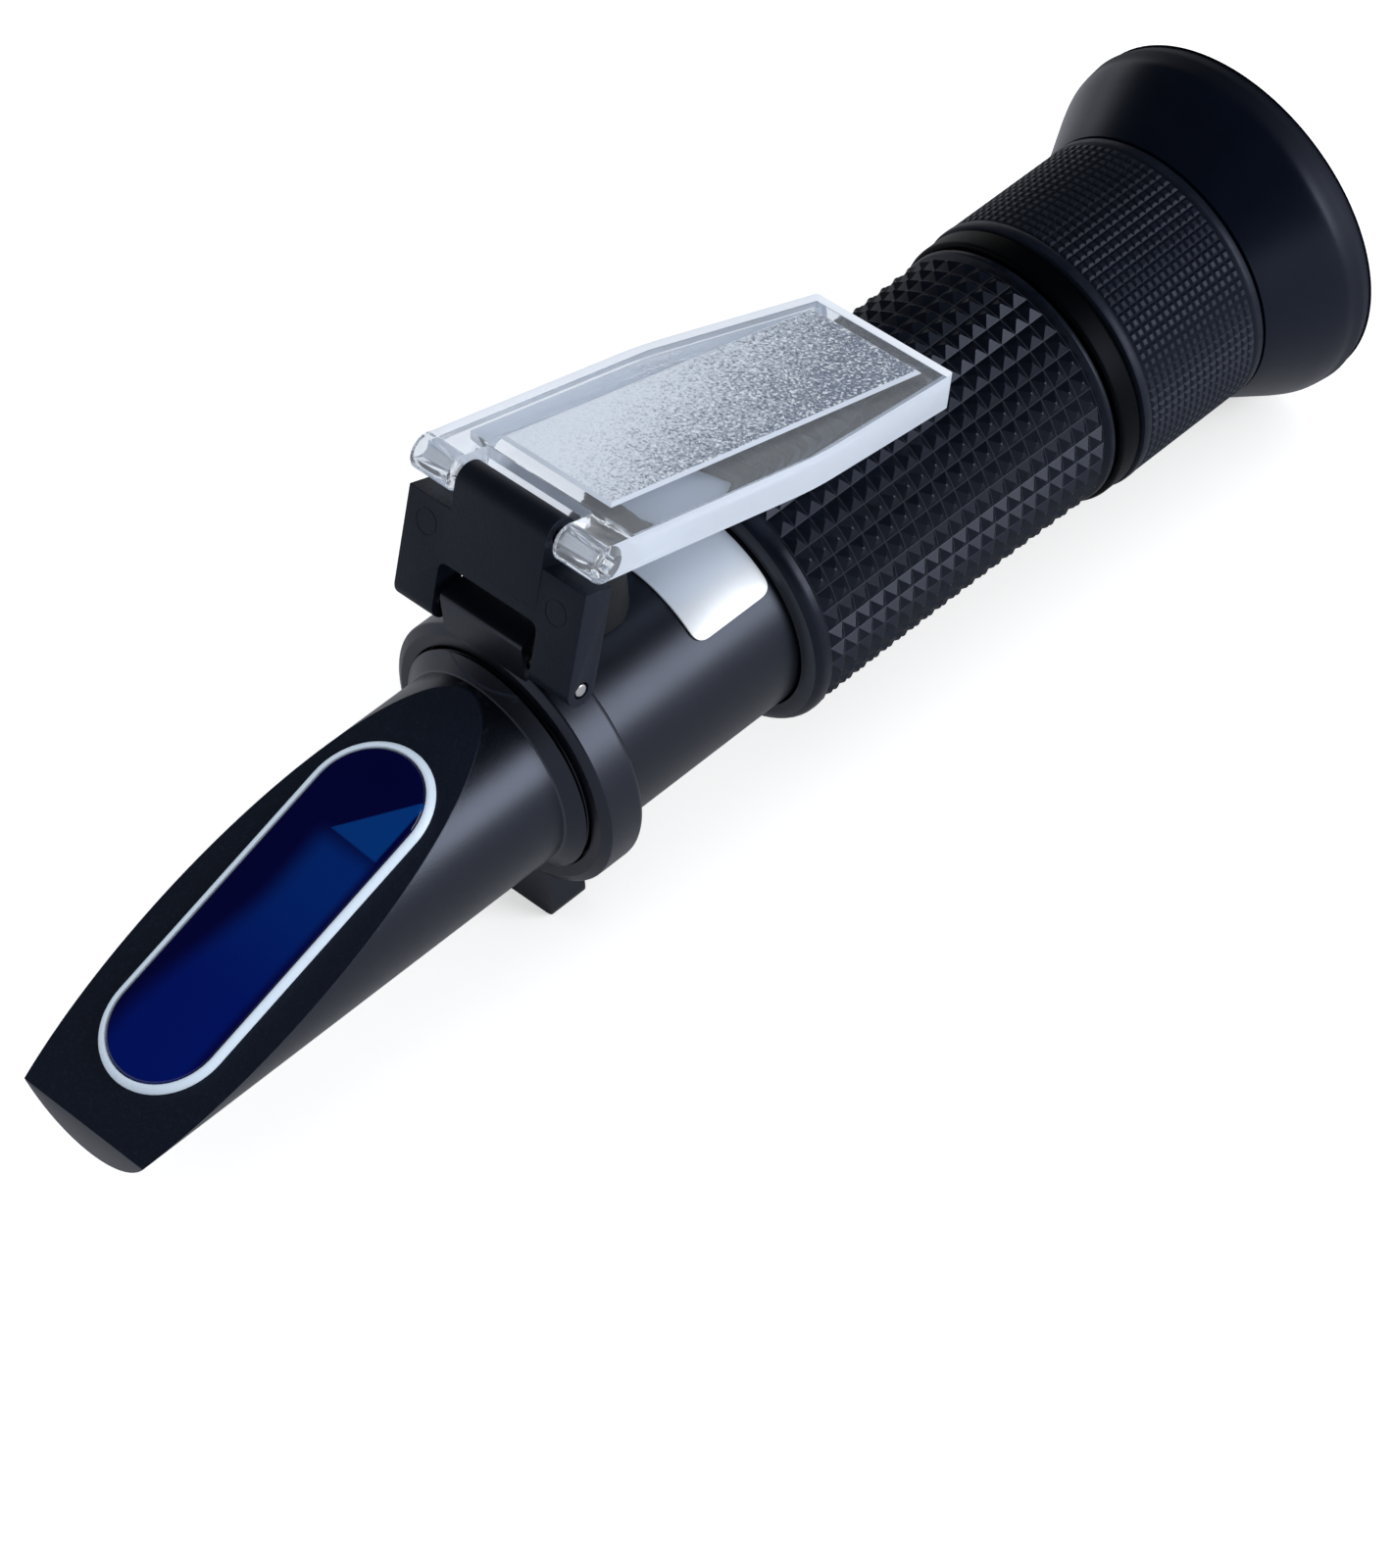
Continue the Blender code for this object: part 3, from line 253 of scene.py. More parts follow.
def glossPlastic(name, dark=(0.0008, 0.0020, 0.0060), rough=0.26, specular=0.32):
    # Polished black moulding with hair-fine wiping marks and faint haze, duller towards the cup's rim
    gloss = Finish(name)
    haze = gloss.noise(0.22, 4)
    around = gloss.vector(gloss.station * 9, gloss.angle * 4, gloss.radius * 3)
    hairs = gloss.between(gloss.noise(1.0, 4, 0.7, around), 0.62, 0.75)
    dust = gloss.between(gloss.noise(3.1, 4, 0.7), 0.72, 0.8)
    colour = gloss.mix(haze, dark, tuple(c * 1.8 for c in dark))
    colour = gloss.mix(dust * 0.04, colour, (0.10, 0.10, 0.11))
    dull = gloss.between(gloss.station, 156.0, 157.8)
    roughness = rough + haze * 0.06 + hairs * 0.05 + dust * 0.15 + dull * 0.3
    return gloss.finish(colour=colour, roughness=roughness, normal=gloss.bump(gloss.noise(0.35, 2), 0.008),
                        specular=specular, tint=blueGleam)


def softRubber(name):
    # Matt black rubber with a grey bloom
    rubber = Finish(name)
    bloom = rubber.noise(0.4, 4)
    fine = rubber.noise(6.0, 3)
    colour = rubber.mix(bloom, (0.0045, 0.0055, 0.0080), (0.0090, 0.0105, 0.0140))
    return rubber.finish(colour=colour, roughness=0.62 + bloom * 0.15, normal=rubber.bump(fine, 0.015),
                         specular=0.3)


def labelMetal(name):
    # Satin silver foil: fine grain round the tube, darker cut edges, a painted reflection of the dark sky
    # that makes the top darker and bluer, no print
    foil = Finish(name)
    grain = foil.noise(1.0, 4, 0.65, foil.vector(foil.station * 7, foil.angle * 6))
    cloud = foil.noise(0.18, 3)
    start, end = 72.6, 82.8
    edge = foil.near(foil.station, start, 0.16).most(foil.near(foil.station, end, 0.16))
    # painted reflection of the dark sky overhead: the top of the foil is darker and bluer
    top = foil.between(abs(foil.angle), 0.82, 0.45)
    colour = foil.mix(cloud, (0.76, 0.80, 0.86), (0.84, 0.87, 0.92))
    colour = foil.mix(top, colour, (0.60, 0.68, 0.80))
    colour = foil.mix(grain * 0.2, colour, (0.62, 0.66, 0.74))
    colour = foil.mix(edge * 0.5, colour, (0.3, 0.31, 0.33))
    return foil.finish(colour=colour, metallic=0.35, roughness=0.38 + grain * 0.12,
                       normal=foil.bump(grain, 0.003))


def turnedMetal(name, light, dark, rough=0.28, metallic=1.0):
    # Fine tool marks, with dulled patches
    metal = Finish(name)
    around = metal.vector(metal.station * 12, metal.angle * 1.5, metal.height * 0.8)
    lines = metal.noise(1.0, 3, 0.6, around)
    dull = metal.noise(0.35, 4)
    colour = metal.mix(dull, light, dark)
    return metal.finish(colour=colour, metallic=metallic, roughness=rough + dull * 0.15 + lines * 0.08,
                        normal=metal.bump(lines, 0.004))


def sealBead(name):
    # Off-white silicone, slightly uneven, with faint patches of grime
    bead = Finish(name)
    wave = bead.noise(0.45, 3)
    grime = bead.between(bead.noise(1.8, 4), 0.55, 0.75)
    colour = bead.mix(wave, (0.64, 0.78, 0.95), (0.70, 0.82, 0.97))
    colour = bead.mix(grime * 0.2, colour, (0.36, 0.46, 0.58))
    return bead.finish(colour=colour, roughness=0.42 + grime * 0.15, normal=bead.bump(wave, 0.05))


def blueGlass(name):
    # Blue glass with painted reflections of the prism's inner faces: flat fields of blue under the polished
    # surface
    glass = Finish(name)
    a = math.radians(slant)
    # u runs up the slanted face from the tip, v across it
    u = glass.station * math.cos(a) + (glass.height + tipDrop) * math.sin(a)
    v = glass.across
    haze = glass.noise(0.12, 2)
    side = v + (glass.noise(0.05, 1) - 0.5) * 0.8
    edge = 1.2 + glass.between(u, 30.0, 9.0) * 3.4
    # painted reflection: a deeper blue field with a soft edge, graded along the face
    body = glass.between(side - edge, 1.6, -1.6) * glass.between(u, 37.0, 34.0) * glass.between(v, -6.3, -5.0)
    deep = glass.mix(glass.between(u, 33.0, 15.0), (0.0006, 0.018, 0.145), (0.0004, 0.0065, 0.120))
    colour = glass.mix(haze, (0.0006, 0.0009, 0.030), (0.0010, 0.0014, 0.038))
    colour = glass.mix(body, colour, deep)
    # the painted bright reflection, a wedge, lies between a slanted line, a cross line and the glass's near
    # edge
    slope = glass.between(v - (0.86 - (u - 36.27) * 0.876), 0.12, -0.12)
    wedgeReflection = slope * glass.between(u + v * -0.05, 36.05, 36.35) * glass.between(v, -5.75, -5.45)
    colour = glass.mix(wedgeReflection, colour, (0.001, 0.034, 0.190))
    dust = glass.between(glass.noise(2.4, 5, 0.7), 0.74, 0.82)
    return glass.finish(colour=colour, roughness=0.04 + dust * 0.20, coat=0.3, coatRoughness=0.03,
                        specular=0.3)


acrylicIor = 1.49


def clearAcrylic(name):
    # Clear moulding with a faint veil, so that what lies under it shows as a soft grey
    clear = Finish(name)
    haze = clear.noise(0.25, 4)
    along = clear.vector(clear.station * 0.6, clear.across * 9)
    marks = clear.between(clear.noise(1.0, 4, 0.7, along), 0.66, 0.78)
    colour = clear.mix(haze, (0.85, 0.91, 0.99), (0.91, 0.95, 1.0))
    return clear.finish(colour=colour, roughness=0.03 + haze * 0.03 + marks * 0.08, transmission=0.91,
                        ior=acrylicIor, normal=clear.bump(clear.noise(0.5, 2), 0.012))


def brightEdge(name, dark, light):
    # The moulding's outer sides are painted as gathering light: a pale colour and a painted glow make them
    # stand out almost white, with faint flow marks
    edge = Finish(name)
    flow = edge.noise(0.5, 4, 0.6)
    colour = edge.mix(flow, dark, light)
    return edge.finish(colour=colour, roughness=0.25 + flow * 0.1, transmission=0.2, ior=acrylicIor,
                       glow=(0.62, 0.70, 0.84), glowStrength=0.22, specular=0.4,
                       normal=edge.bump(edge.noise(0.7, 3), 0.008))


def frostedPanel(name):
    # Fine etched grain. It is pale by the hinge and far side; over the rest it is painted dark, standing in
    # for the dark grip seen through it.
    frost = Finish(name)
    grain = frost.noise(2.9, 2, 0.6, distortion=0.6)
    fine = frost.noise(6.0, 2, 0.6)
    cloud = frost.noise(0.10, 2)
    shade = frost.station * 0.030 - frost.across * 0.060 + (cloud - 0.5) * 0.5
    paintedDarkToTip = frost.between(shade, 1.95, 3.3)
    rough = frost.between(shade, 1.80, 2.7)
    pale = frost.mix(cloud, (0.66, 0.73, 0.85), (0.72, 0.79, 0.90))
    colour = frost.mix(paintedDarkToTip, pale, (0.20, 0.24, 0.33))
    colour = frost.mix(frost.between(grain, 0.52, 0.64) * (0.16 + rough * 0.84), colour, (0.76, 0.82, 0.90))
    colour = frost.mix(frost.between(grain, 0.48, 0.37) * (0.08 + rough * 0.78), colour, (0.10, 0.125, 0.18))
    return frost.finish(colour=colour, roughness=0.40, transmission=0.08, ior=acrylicIor, specular=0.4,
                        normal=frost.bump(grain * 0.8 + fine * 0.2, 0.10))


def opticalGlass(name):
    # Clear glass with a trace of a smear
    tint = (0.93, 0.96, 0.97)
    glass = Finish(name)
    smear = glass.noise(0.3, 4)
    colour = glass.mix(smear, tint, tuple(c * 0.97 for c in tint))
    return glass.finish(colour=colour, roughness=0.01 + smear * 0.03, transmission=1.0, ior=1.52)


finishes = {
    "nose": castPaint("nosePaint"),
    "tube": satinPaint("tubePaint"),
    "collar": satinPaint("collarPaint", rough=0.33, specular=0.56),
    "inner": satinPaint("flatBlack", (0.008, 0.008, 0.009), rough=0.7, specular=0.2),
    "anodised": turnedMetal("blackAnodised", (0.02, 0.02, 0.023), (0.035, 0.035, 0.038), 0.42, 0.5),
    "yoke": grainedPlastic("yokePlastic"),
    "grip": gripRubber("gripRubber", 14.6, 0.65, 0.32),
    "focus": gripRubber("focusRubber", 15.6, 0.19, dark=(0.0018, 0.0036, 0.0085), rough=0.48,
                        grooveShare=0.1),
    "gloss": glossPlastic("glossBlack"),
    "deep": glossPlastic("deepBlack", dark=(0.0004, 0.0005, 0.0008), rough=0.40, specular=0.06),
    "rubber": softRubber("capRubber"),
    "label": labelMetal("labelSilver"),
    "steel": turnedMetal("pinSteel", (0.62, 0.62, 0.63), (0.45, 0.45, 0.47), 0.22),
    "brass": turnedMetal("screwBrass", (0.72, 0.53, 0.24), (0.52, 0.36, 0.15), 0.28),
    "seal": sealBead("sealWhite"),
    "prism": blueGlass("prismBlue"),
    "clear": clearAcrylic("clearAcrylic"),
    # two copies of the painted-glow edge finish, a dimmer one and a brighter one
    "side": brightEdge("brightEdge", (0.44, 0.49, 0.575), (0.48, 0.53, 0.61)),
    "band": brightEdge("brightBand", (0.74, 0.79, 0.86), (0.79, 0.83, 0.89)),
    "frost": frostedPanel("frostedPanel"),
    "glass": opticalGlass("lensGlass"),
    "print": satinPaint("scalePrint", (0.01, 0.01, 0.012), rough=0.6),
}
print("finishes made")


# Shapes

def addObject(name, data):
    made = bpy.data.objects.new(name, data)
    bpy.context.scene.collection.objects.link(made)
    return made


def newPiece(name, bm, placed, finish, sharp=35):
    bmesh.ops.remove_doubles(bm, verts=bm.verts, dist=0.0005)
    bmesh.ops.recalc_face_normals(bm, faces=bm.faces)
    bm.transform(placed)
    mesh = bpy.data.meshes.new(name)
    bm.to_mesh(mesh)
    bm.free()
    piece = addObject(name, mesh)
    shadeByAngle(mesh, sharp)
    if finish:
        mesh.materials.append(finishes[finish])
    return piece


def shadeByAngle(mesh, sharp):
    mesh.polygons.foreach_set("use_smooth", [True] * len(mesh.polygons))
    mesh.set_sharp_from_angle(angle=math.radians(sharp))


def arc(middle, radius, start, end, steps):
    turns = [math.radians(start + (end - start) * step / steps) for step in range(steps + 1)]
    return [(middle[0] + radius * math.cos(t), middle[1] + radius * math.sin(t)) for t in turns]


def softCorners(points, closed=True, steps=4):
    # Points may have a third number, the radius of a curve that rounds the corner there
    rounded = []
    count = len(points)
    for index, point in enumerate(points):
        reach = point[2] if len(point) > 2 else 0
        if not reach or (not closed and index in (0, count - 1)):
            rounded.append(point[:2])
            continue
        here = Vector(point[:2])
        before = Vector(points[index - 1][:2]) - here
        after = Vector(points[(index + 1) % count][:2]) - here
        start = here + before.normalized() * min(reach, before.length * 0.49)
        end = here + after.normalized() * min(reach, after.length * 0.49)
        for step in range(steps + 1):
            t = step / steps
            rounded.append(tuple(start * (1 - t) ** 2 + here * 2 * t * (1 - t) + end * t ** 2))
    return rounded


def throughPoints(points, each=5):
    # A smooth line through the points
    line = []
    for index in range(len(points) - 1):
        four = [Vector(points[max(0, min(len(points) - 1, index + shift))]) for shift in (-1, 0, 1, 2)]
        for step in range(each):
            t = step / each
            line.append(tuple(0.5 * (2 * four[1] + (four[2] - four[0]) * t
                                     + (2 * four[0] - 5 * four[1] + 4 * four[2] - four[3]) * t ** 2
                                     + (3 * four[1] - four[0] - 3 * four[2] + four[3]) * t ** 3)))
    return line + [tuple(points[-1][:2])]


def latheMesh(section, steps=144):
    # Turns a section of (station, radius) points. It is a loop, or ends on the axis.
    bm = bmesh.new()
    rings = []
    for station, radius in section:
        if radius < 0.0001:
            rings.append([bm.verts.new((station, 0, 0))] * steps)
            continue
        turns = [2 * math.pi * k / steps for k in range(steps)]
        rings.append([bm.verts.new((station, radius * math.cos(t), radius * math.sin(t))) for t in turns])
    if section[0][1] > 0.0001:
        rings.append(rings[0])
    for first, second in zip(rings, rings[1:]):
        for k in range(steps):
            after = (k + 1) % steps
            corners = list(dict.fromkeys((first[k], first[after], second[after], second[k])))
            if len(corners) > 2:
                bm.faces.new(corners)
    return bm


def slabMesh(outline, low, high, upright=False):
    # An outline with thickness. Upright ones are drawn as side views and reach across the object.
    bm = bmesh.new()
    face = bm.faces.new([bm.verts.new((x, y, low)) for x, y in outline])
    pushed = bmesh.ops.extrude_face_region(bm, geom=[face])["geom"]
    lifted = [item for item in pushed if isinstance(item, bmesh.types.BMVert)]
    bmesh.ops.translate(bm, verts=lifted, vec=(0, 0, high - low))
    if upright:
        bm.transform(Matrix.Rotation(math.pi / 2, 4, "X"))
    return bm


def levelsMesh(levels, outlineOf, ring=False):
    # Carries an outline through (growth, height) levels. It ends in two faces, or closes on itself as a ring.
    bm = bmesh.new()
    rows = [[bm.verts.new((x, y, height)) for x, y in outlineOf(growth)] for growth, height in levels]
    for row, following in zip(rows, rows[1:] + rows[:1] if ring else rows[1:]):
        for k in range(len(row)):
            after = (k + 1) % len(row)
            bm.faces.new((row[k], row[after], following[after], following[k]))
    if not ring:
        bm.faces.new(rows[0])
        bm.faces.new(rows[-1])
    return bm


def rodMesh(middle, radius, low, high, axis, steps=48):
    bm = slabMesh(arc((0, 0), radius, 0, 360 - 360 / steps, steps - 1), low, high)
    if axis == "Y":
        bm.transform(Matrix.Rotation(-math.pi / 2, 4, "X"))
    if axis == "X":
        bm.transform(Matrix.Rotation(math.pi / 2, 4, "Y"))
    bm.transform(Matrix.Translation(middle))
    return bm


def settle(piece):
    # Turns the piece's modifiers into plain mesh
    graph = bpy.context.evaluated_depsgraph_get()
    mesh = bpy.data.meshes.new_from_object(piece.evaluated_get(graph))
    piece.modifiers.clear()
    piece.data = mesh
    return mesh


def carve(piece, bm, placed, operation="DIFFERENCE"):
    tool = newPiece("tool", bm, placed, None)
    boolean = piece.modifiers.new("carve", "BOOLEAN")
    boolean.operation = operation
    boolean.solver = "EXACT"
    boolean.object = tool
    settle(piece)
    bpy.data.objects.remove(tool)


def easeEdges(piece, width, segments=3, angle=40, sharp=30):
    bevel = piece.modifiers.new("ease", "BEVEL")
    bevel.width = width / 1000
    bevel.segments = segments
    bevel.limit_method = "ANGLE"
    bevel.angle_limit = math.radians(angle)
    shadeByAngle(settle(piece), sharp)


def partFace(mesh, placed):
    # Keeps the shading of the flat face at height 0 apart from the faces round it
    back = placed.inverted()
    turn = back.to_3x3().normalized()
    bm = bmesh.new()
    bm.from_mesh(mesh)
    flat = {face for face in bm.faces
            if abs((back @ face.calc_center_median()).z) < 0.02 and (turn @ face.normal).z > 0.9999}
    for edge in bm.edges:
        if len([face for face in edge.link_faces if face in flat]) == 1:
            edge.smooth = False
    bm.to_mesh(mesh)
    bm.free()


def roundNormals(mesh, radius):
    # Cuts leave uneven strips on a round flank, so that it takes its normals from the axis
    back = bodyFrame.inverted()
    normals = [Vector(corner.vector) for corner in mesh.corner_normals]
    for face in mesh.polygons:
        spots = [back @ mesh.vertices[index].co for index in face.vertices]
        middle = back @ face.center
        outward = face.normal.dot(Vector((0, middle.y, middle.z)).normalized())
        if outward > 0.99 and all(abs(math.hypot(spot.y, spot.z) - radius) < 0.3 for spot in spots):
            for loop, spot in zip(face.loop_indices, spots):
                normals[loop] = Vector((0, spot.y, spot.z)).normalized()
    mesh.normals_split_custom_set([tuple(normal) for normal in normals])


def fit(piece, body, slot, *nodes):
    if nodes:
        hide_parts(*nodes)
    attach(piece, body)


def dress(node, finish):
    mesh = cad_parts[node].data
    mesh.materials.clear()
    mesh.materials.append(finishes[finish])


# Grown pieces

def newTree(name, floats, counts):
    tree = bpy.data.node_groups.new(name, "GeometryNodeTree")
    tree.interface.new_socket(name="Geometry", in_out="OUTPUT", socket_type="NodeSocketGeometry")
    for kind, labels in (("Float", floats), ("Int", counts), ("Material", ["Material"])):
        for label in labels:
            tree.interface.new_socket(name=label, in_out="INPUT", socket_type="NodeSocket" + kind)
    sheet = Sheet(tree)
    return sheet, sheet.add("NodeGroupInput")


def endTree(sheet, geometry, finish):
    real = sheet.add("GeometryNodeRealizeInstances", None, {0: geometry})
    done = sheet.add("GeometryNodeSetMaterial", None, {0: real, "Material": finish})
    end = sheet.tree.nodes.new("NodeGroupOutput")
    sheet.tree.links.new(done.socket, end.inputs[0])


def grow(name, sheet, values, placed, sharp=25):
    piece = addObject(name, bpy.data.meshes.new(name))
    modifier = piece.modifiers.new("grow", "NODES")
    modifier.node_group = sheet.tree
    for item in sheet.tree.interface.items_tree:
        if item.in_out == "INPUT":
            modifier[item.identifier] = values[item.name]
    mesh = settle(piece)
    mesh.transform(placed)
    shadeByAngle(mesh, sharp)
    return piece


def pyramidTree():
    # A sleeve of four-sided pyramids with small flat tips, on a radius that is least at the waist
    sheet, given = newTree("pyramidSleeve", ["Start", "Length", "Crest", "Swell", "Waist", "End", "Depth",
                                             "Tip"], ["Rows", "Around"])
    rows, around = given["Rows"], given["Around"]
    grid = sheet.add("GeometryNodeMeshGrid", None, {
        "Size X": 1.0, "Size Y": 1.0, "Vertices X": rows * 3 + 1, "Vertices Y": around * 3 + 1})
    spot = sheet.add("ShaderNodeSeparateXYZ", None, {0: sheet.add("GeometryNodeInputPosition")})

    def cellPlace(value, count):
        # Three lines of points to a cell: its edge, and the two sides of its tip
        line = ((value + 0.5) * count * 3 + 0.5).floor()
        cell = (line / 3 + 0.01).floor()
        step = line - cell * 3
        onTip = step.least(1.0)
        tip = given["Tip"]
        return (cell + onTip * (0.5 - tip) + (step - 1).most(0.0) * tip * 2) / count, onTip

    along, tipAlong = cellPlace(spot, rows)
    turn, tipRound = cellPlace(spot["Y"], around)
    station = given["Start"] + along * given["Length"]
    share = (station - given["Waist"]) / (given["End"] - given["Waist"])
    crest = given["Crest"] + share * share * given["Swell"]
    radius = crest - (1 - tipAlong * tipRound) * given["Depth"]
    angle = turn * (2 * math.pi)
    place = sheet.vector(station, radius * angle.cosine(), radius * angle.sine())
    bent = sheet.add("GeometryNodeSetPosition", None, {"Geometry": grid, "Position": place})
    closed = sheet.add("GeometryNodeMergeByDistance", None, {"Geometry": bent, "Distance": 0.001})
    split = sheet.add("GeometryNodeTriangulate", {"quad_method": "LONGEST_DIAGONAL"}, {0: closed})
    endTree(sheet, split, given["Material"])
    return sheet


def growSleeve(name, pyramids, s, finish):
    first, last = s["field"]
    return grow(name, pyramids, {
        "Start": first, "Length": last - first, "Rows": s["rows"], "Around": s["around"], "Crest": s["crest"],
        "Swell": s["swell"], "Waist": s["waist"], "End": s["end"], "Depth": s["depth"], "Tip": s["tip"],
        "Material": finishes[finish]}, bodyFrame)


def closeSleeve(piece, placed, front, rear):
    # Carries both open ends of a grown sleeve over their rims and joins them through the bore
    bm = bmesh.new()
    bm.from_mesh(piece.data)
    bm.transform(placed.inverted())
    ends = [e for e in bm.edges if e.is_boundary]
    middle = sum(v.co.x for v in bm.verts) / len(bm.verts)
    inner = []
    for section, edges in ((front, [e for e in ends if e.verts[0].co.x < middle]),
                           (rear, [e for e in ends if e.verts[0].co.x > middle])):
        for station, radius in section:
            made = bmesh.ops.extrude_edge_only(bm, edges=edges)["geom"]
            edges = [g for g in made if isinstance(g, bmesh.types.BMEdge)]
            for vert in (g for g in made if isinstance(g, bmesh.types.BMVert)):
                scale = radius / math.hypot(vert.co.y, vert.co.z)
                vert.co = (station, vert.co.y * scale, vert.co.z * scale)
        inner += edges
    bmesh.ops.bridge_loops(bm, edges=inner)
    bmesh.ops.recalc_face_normals(bm, faces=bm.faces)
    bm.transform(placed)
    bm.to_mesh(piece.data)
    bm.free()
    shadeByAngle(piece.data, 25)


# Nose with the prism

nose = {"radius": 10.77, "length": 54.1, "shoulder": 12.5, "shoulderWidth": 1.4, "neck": 10.7,
        "neckEnd": 59.9, "edge": 0.22}
prism = {"start": 5.9, "length": 40.1, "width": 12.4, "proud": 0.73, "depth": 4.8, "edge": 0.35}
bead = {"reach": 0.95, "rise": 0.62, "foot": 0.1, "inset": 0.12}


def stadium(growth, steps=40):
    radius = prism["width"] / 2 + growth
    nearEnd = prism["start"] + prism["width"] / 2
    farEnd = prism["start"] + prism["length"] - prism["width"] / 2
    return arc((farEnd, 0), radius, -90, 90, steps) + arc((nearEnd, 0), radius, 90, 270, steps)


def makeNose():
    s = nose
    shoulder = s["length"] - s["shoulderWidth"]
    section = [(0, 0), (0, s["radius"]), (shoulder, s["radius"])]
    cone = [(shoulder, s["radius"]), (s["length"], s["shoulder"], 0.15), (s["length"], s["neck"])]
    section += softCorners(cone, closed=False)[1:] + [(s["neckEnd"], s["neck"]), (s["neckEnd"], 0)]
    piece = newPiece("noseCasting", latheMesh(section), bodyFrame, "nose")
    rise = math.tan(math.radians(slant))
    above = [(-3, -tipDrop - 3 * rise), (shoulder, shoulder * rise - tipDrop), (shoulder, 22), (-3, 22)]
    carve(piece, slabMesh(above, -22, 22, upright=True), bodyFrame)
    carve(piece, slabMesh(stadium(0.1), -prism["depth"] - 0.3, 3), slantFrame)
    easeEdges(piece, s["edge"], 3, 50)
    partFace(piece.data, slantFrame)
    roundNormals(piece.data, s["radius"])
    fit(piece, "instrument", "satin_black", "prism_housing")


def makePrism():
    s = prism
    levels = [(0, -s["depth"])]
    for t in (0, 18, 36, 54, 72, 90):
        t = math.radians(t)
        levels.append((-s["edge"] * (1 - math.cos(t)), s["proud"] - s["edge"] * (1 - math.sin(t))))
    glass = newPiece("prismGlass", levelsMesh(levels, stadium), slantFrame, "prism", 50)
    fit(glass, "instrument", "blue_glass", "measuring_prism")


def makeBead():
    s = bead
    crown = ((0.0, 0.86), (0.12, 0.97), (0.28, 1.0), (0.48, 0.9), (0.68, 0.66), (0.86, 0.33), (0.97, 0.08))
    rim = [(0.06, s["foot"])]
    width, height = s["reach"] - s["inset"], s["rise"] - s["foot"]
    rim += [(s["inset"] + width * t, s["foot"] + height * h) for t, h in crown] + [(s["reach"], 0.04)]
    piece = newPiece("sealBead", levelsMesh(rim, stadium, True), slantFrame, "seal", 60)
    fit(piece, "instrument", "white_seal", "prism_seal")


# Collar, yoke and tray

collar = {"start": 54.5, "end": 59.4, "radius": 14.85, "bore": 12.54, "lugWidth": 11.2, "lugTop": 18.35,
          "footWidth": 8.7, "footFront": 55.0, "root": 13.7, "hinge": (55.9, 15.55), "pinHole": 1.05,
          "screw": 57.2, "screwHole": 1.8}


def makeCollar():
    s = collar
    start, end = s["start"], s["end"]
    section = [(start, s["radius"] - 1.0, 0.12), (start + 0.6, s["radius"], 0.2), (end, s["radius"], 0.6),
               (end, s["bore"], 0.15), (start, s["bore"], 0.15)]
    piece = newPiece("hingeRing", latheMesh(softCorners(section)), bodyFrame, "collar")
    root, top, wide = s["root"], s["lugTop"], s["lugWidth"] / 2
    lug = softCorners([(start, root), (start, top, 0.7), (end, top, 0.7), (end, root)])
    carve(piece, slabMesh(lug, -wide, wide, upright=True), bodyFrame, "UNION")
    half = s["footWidth"] / 2
    foot = softCorners([(-half, -root), (-half, -axisHeight, 1.2), (half, -axisHeight, 1.2), (half, -root)])
    stand = slabMesh(foot, s["footFront"], end)
    stand.transform(facingAxis)
    carve(piece, stand, bodyFrame, "UNION")
    carve(piece, rodMesh((0, 0, 0), s["bore"], 50, 65, "X", 144), bodyFrame)
    carve(piece, rodMesh((s["hinge"][0], 0, s["hinge"][1]), s["pinHole"], -12, 12, "Y"), bodyFrame)
    carve(piece, rodMesh((s["screw"], 0, 0), s["screwHole"], -24, -12.2, "Z"), bodyFrame)
    easeEdges(piece, 0.16, 2, 55)
    roundNormals(piece.data, s["radius"])
    fit(piece, "instrument", "satin_black", "hinge_collar")


yoke = {"half": 1.75, "width": 24.0, "reach": 10.8, "length": 13.8, "knuckleWidth": 12.4, "knuckle": 1.95,
        "knuckleRoot": 6.0, "slotWidth": 13.4, "slotDepth": 5.0, "slotCorner": 1.1, "edge": 0.22, "hole": 0.9,
        "tipHole": 1.0, "marks": ((8.06, 9.11), (7.29, -8.74)), "markRadius": 1.35, "markDepth": 0.045}


def makeYoke():
    s = yoke
    half, wide, knuckle = s["half"], s["width"] / 2, s["knuckleWidth"] / 2
    side = arc((0, 0), half, 90, 270, 24) + [(s["reach"], -half), (s["reach"], half)]
    piece = newPiece("yoke", slabMesh(side, -wide, wide, upright=True), armFrame, "yoke")
    root = s["knuckleRoot"]
    end = [(root, half), (root, -half)] + arc((s["length"], 0), s["knuckle"], -90, 90, 24)
    carve(piece, slabMesh(end, -knuckle, knuckle, upright=True), armFrame, "UNION")
    d, w = s["slotDepth"], s["slotWidth"] / 2
    slot = softCorners([(-d, -w), (d, -w, s["slotCorner"]), (d, w, s["slotCorner"]), (-d, w)])
    carve(piece, slabMesh(slot, -5, 5), armFrame)
    carve(piece, rodMesh((0, 0, 0), s["hole"], -20, 20, "Y"), armFrame)
    carve(piece, rodMesh((s["length"], 0, 0), s["tipHole"], -20, 20, "Y"), armFrame)
    easeEdges(piece, s["edge"], 3, 40)
    cut = s["markDepth"]
    for place in s["marks"]:
        # The rings that the mould's pins leave
        ring = levelsMesh([(-cut, half - cut), (cut, half - cut), (cut, 3), (-cut, 3)],
                          lambda growth: arc(place, s["markRadius"] + growth, 0, 352.5, 47), True)
        carve(piece, ring, armFrame)
    shadeByAngle(piece.data, 30)
    fit(piece, "arm", "matte_black", "flap_arm")


tray = {"rise": 2.05, "depth": 4.0, "width": 24.5, "tipWidth": 18.6, "straight": 28.3, "length": 50.4,
        "corner": 0.45, "wall": 1.3, "panel": 1.8, "notchWidth": 14.4, "notchDepth": 3.1, "notchCorner": 0.4,
        "knuckle": 2.0, "pin": 1.0, "pad": (5.4, 41.9, 14.2), "padRise": 0.17, "margin": 0.1, "slope": 0.4,
        "edge": 0.16, "band": 1.15, "line": 0.1, "lineDepth": 0.06}


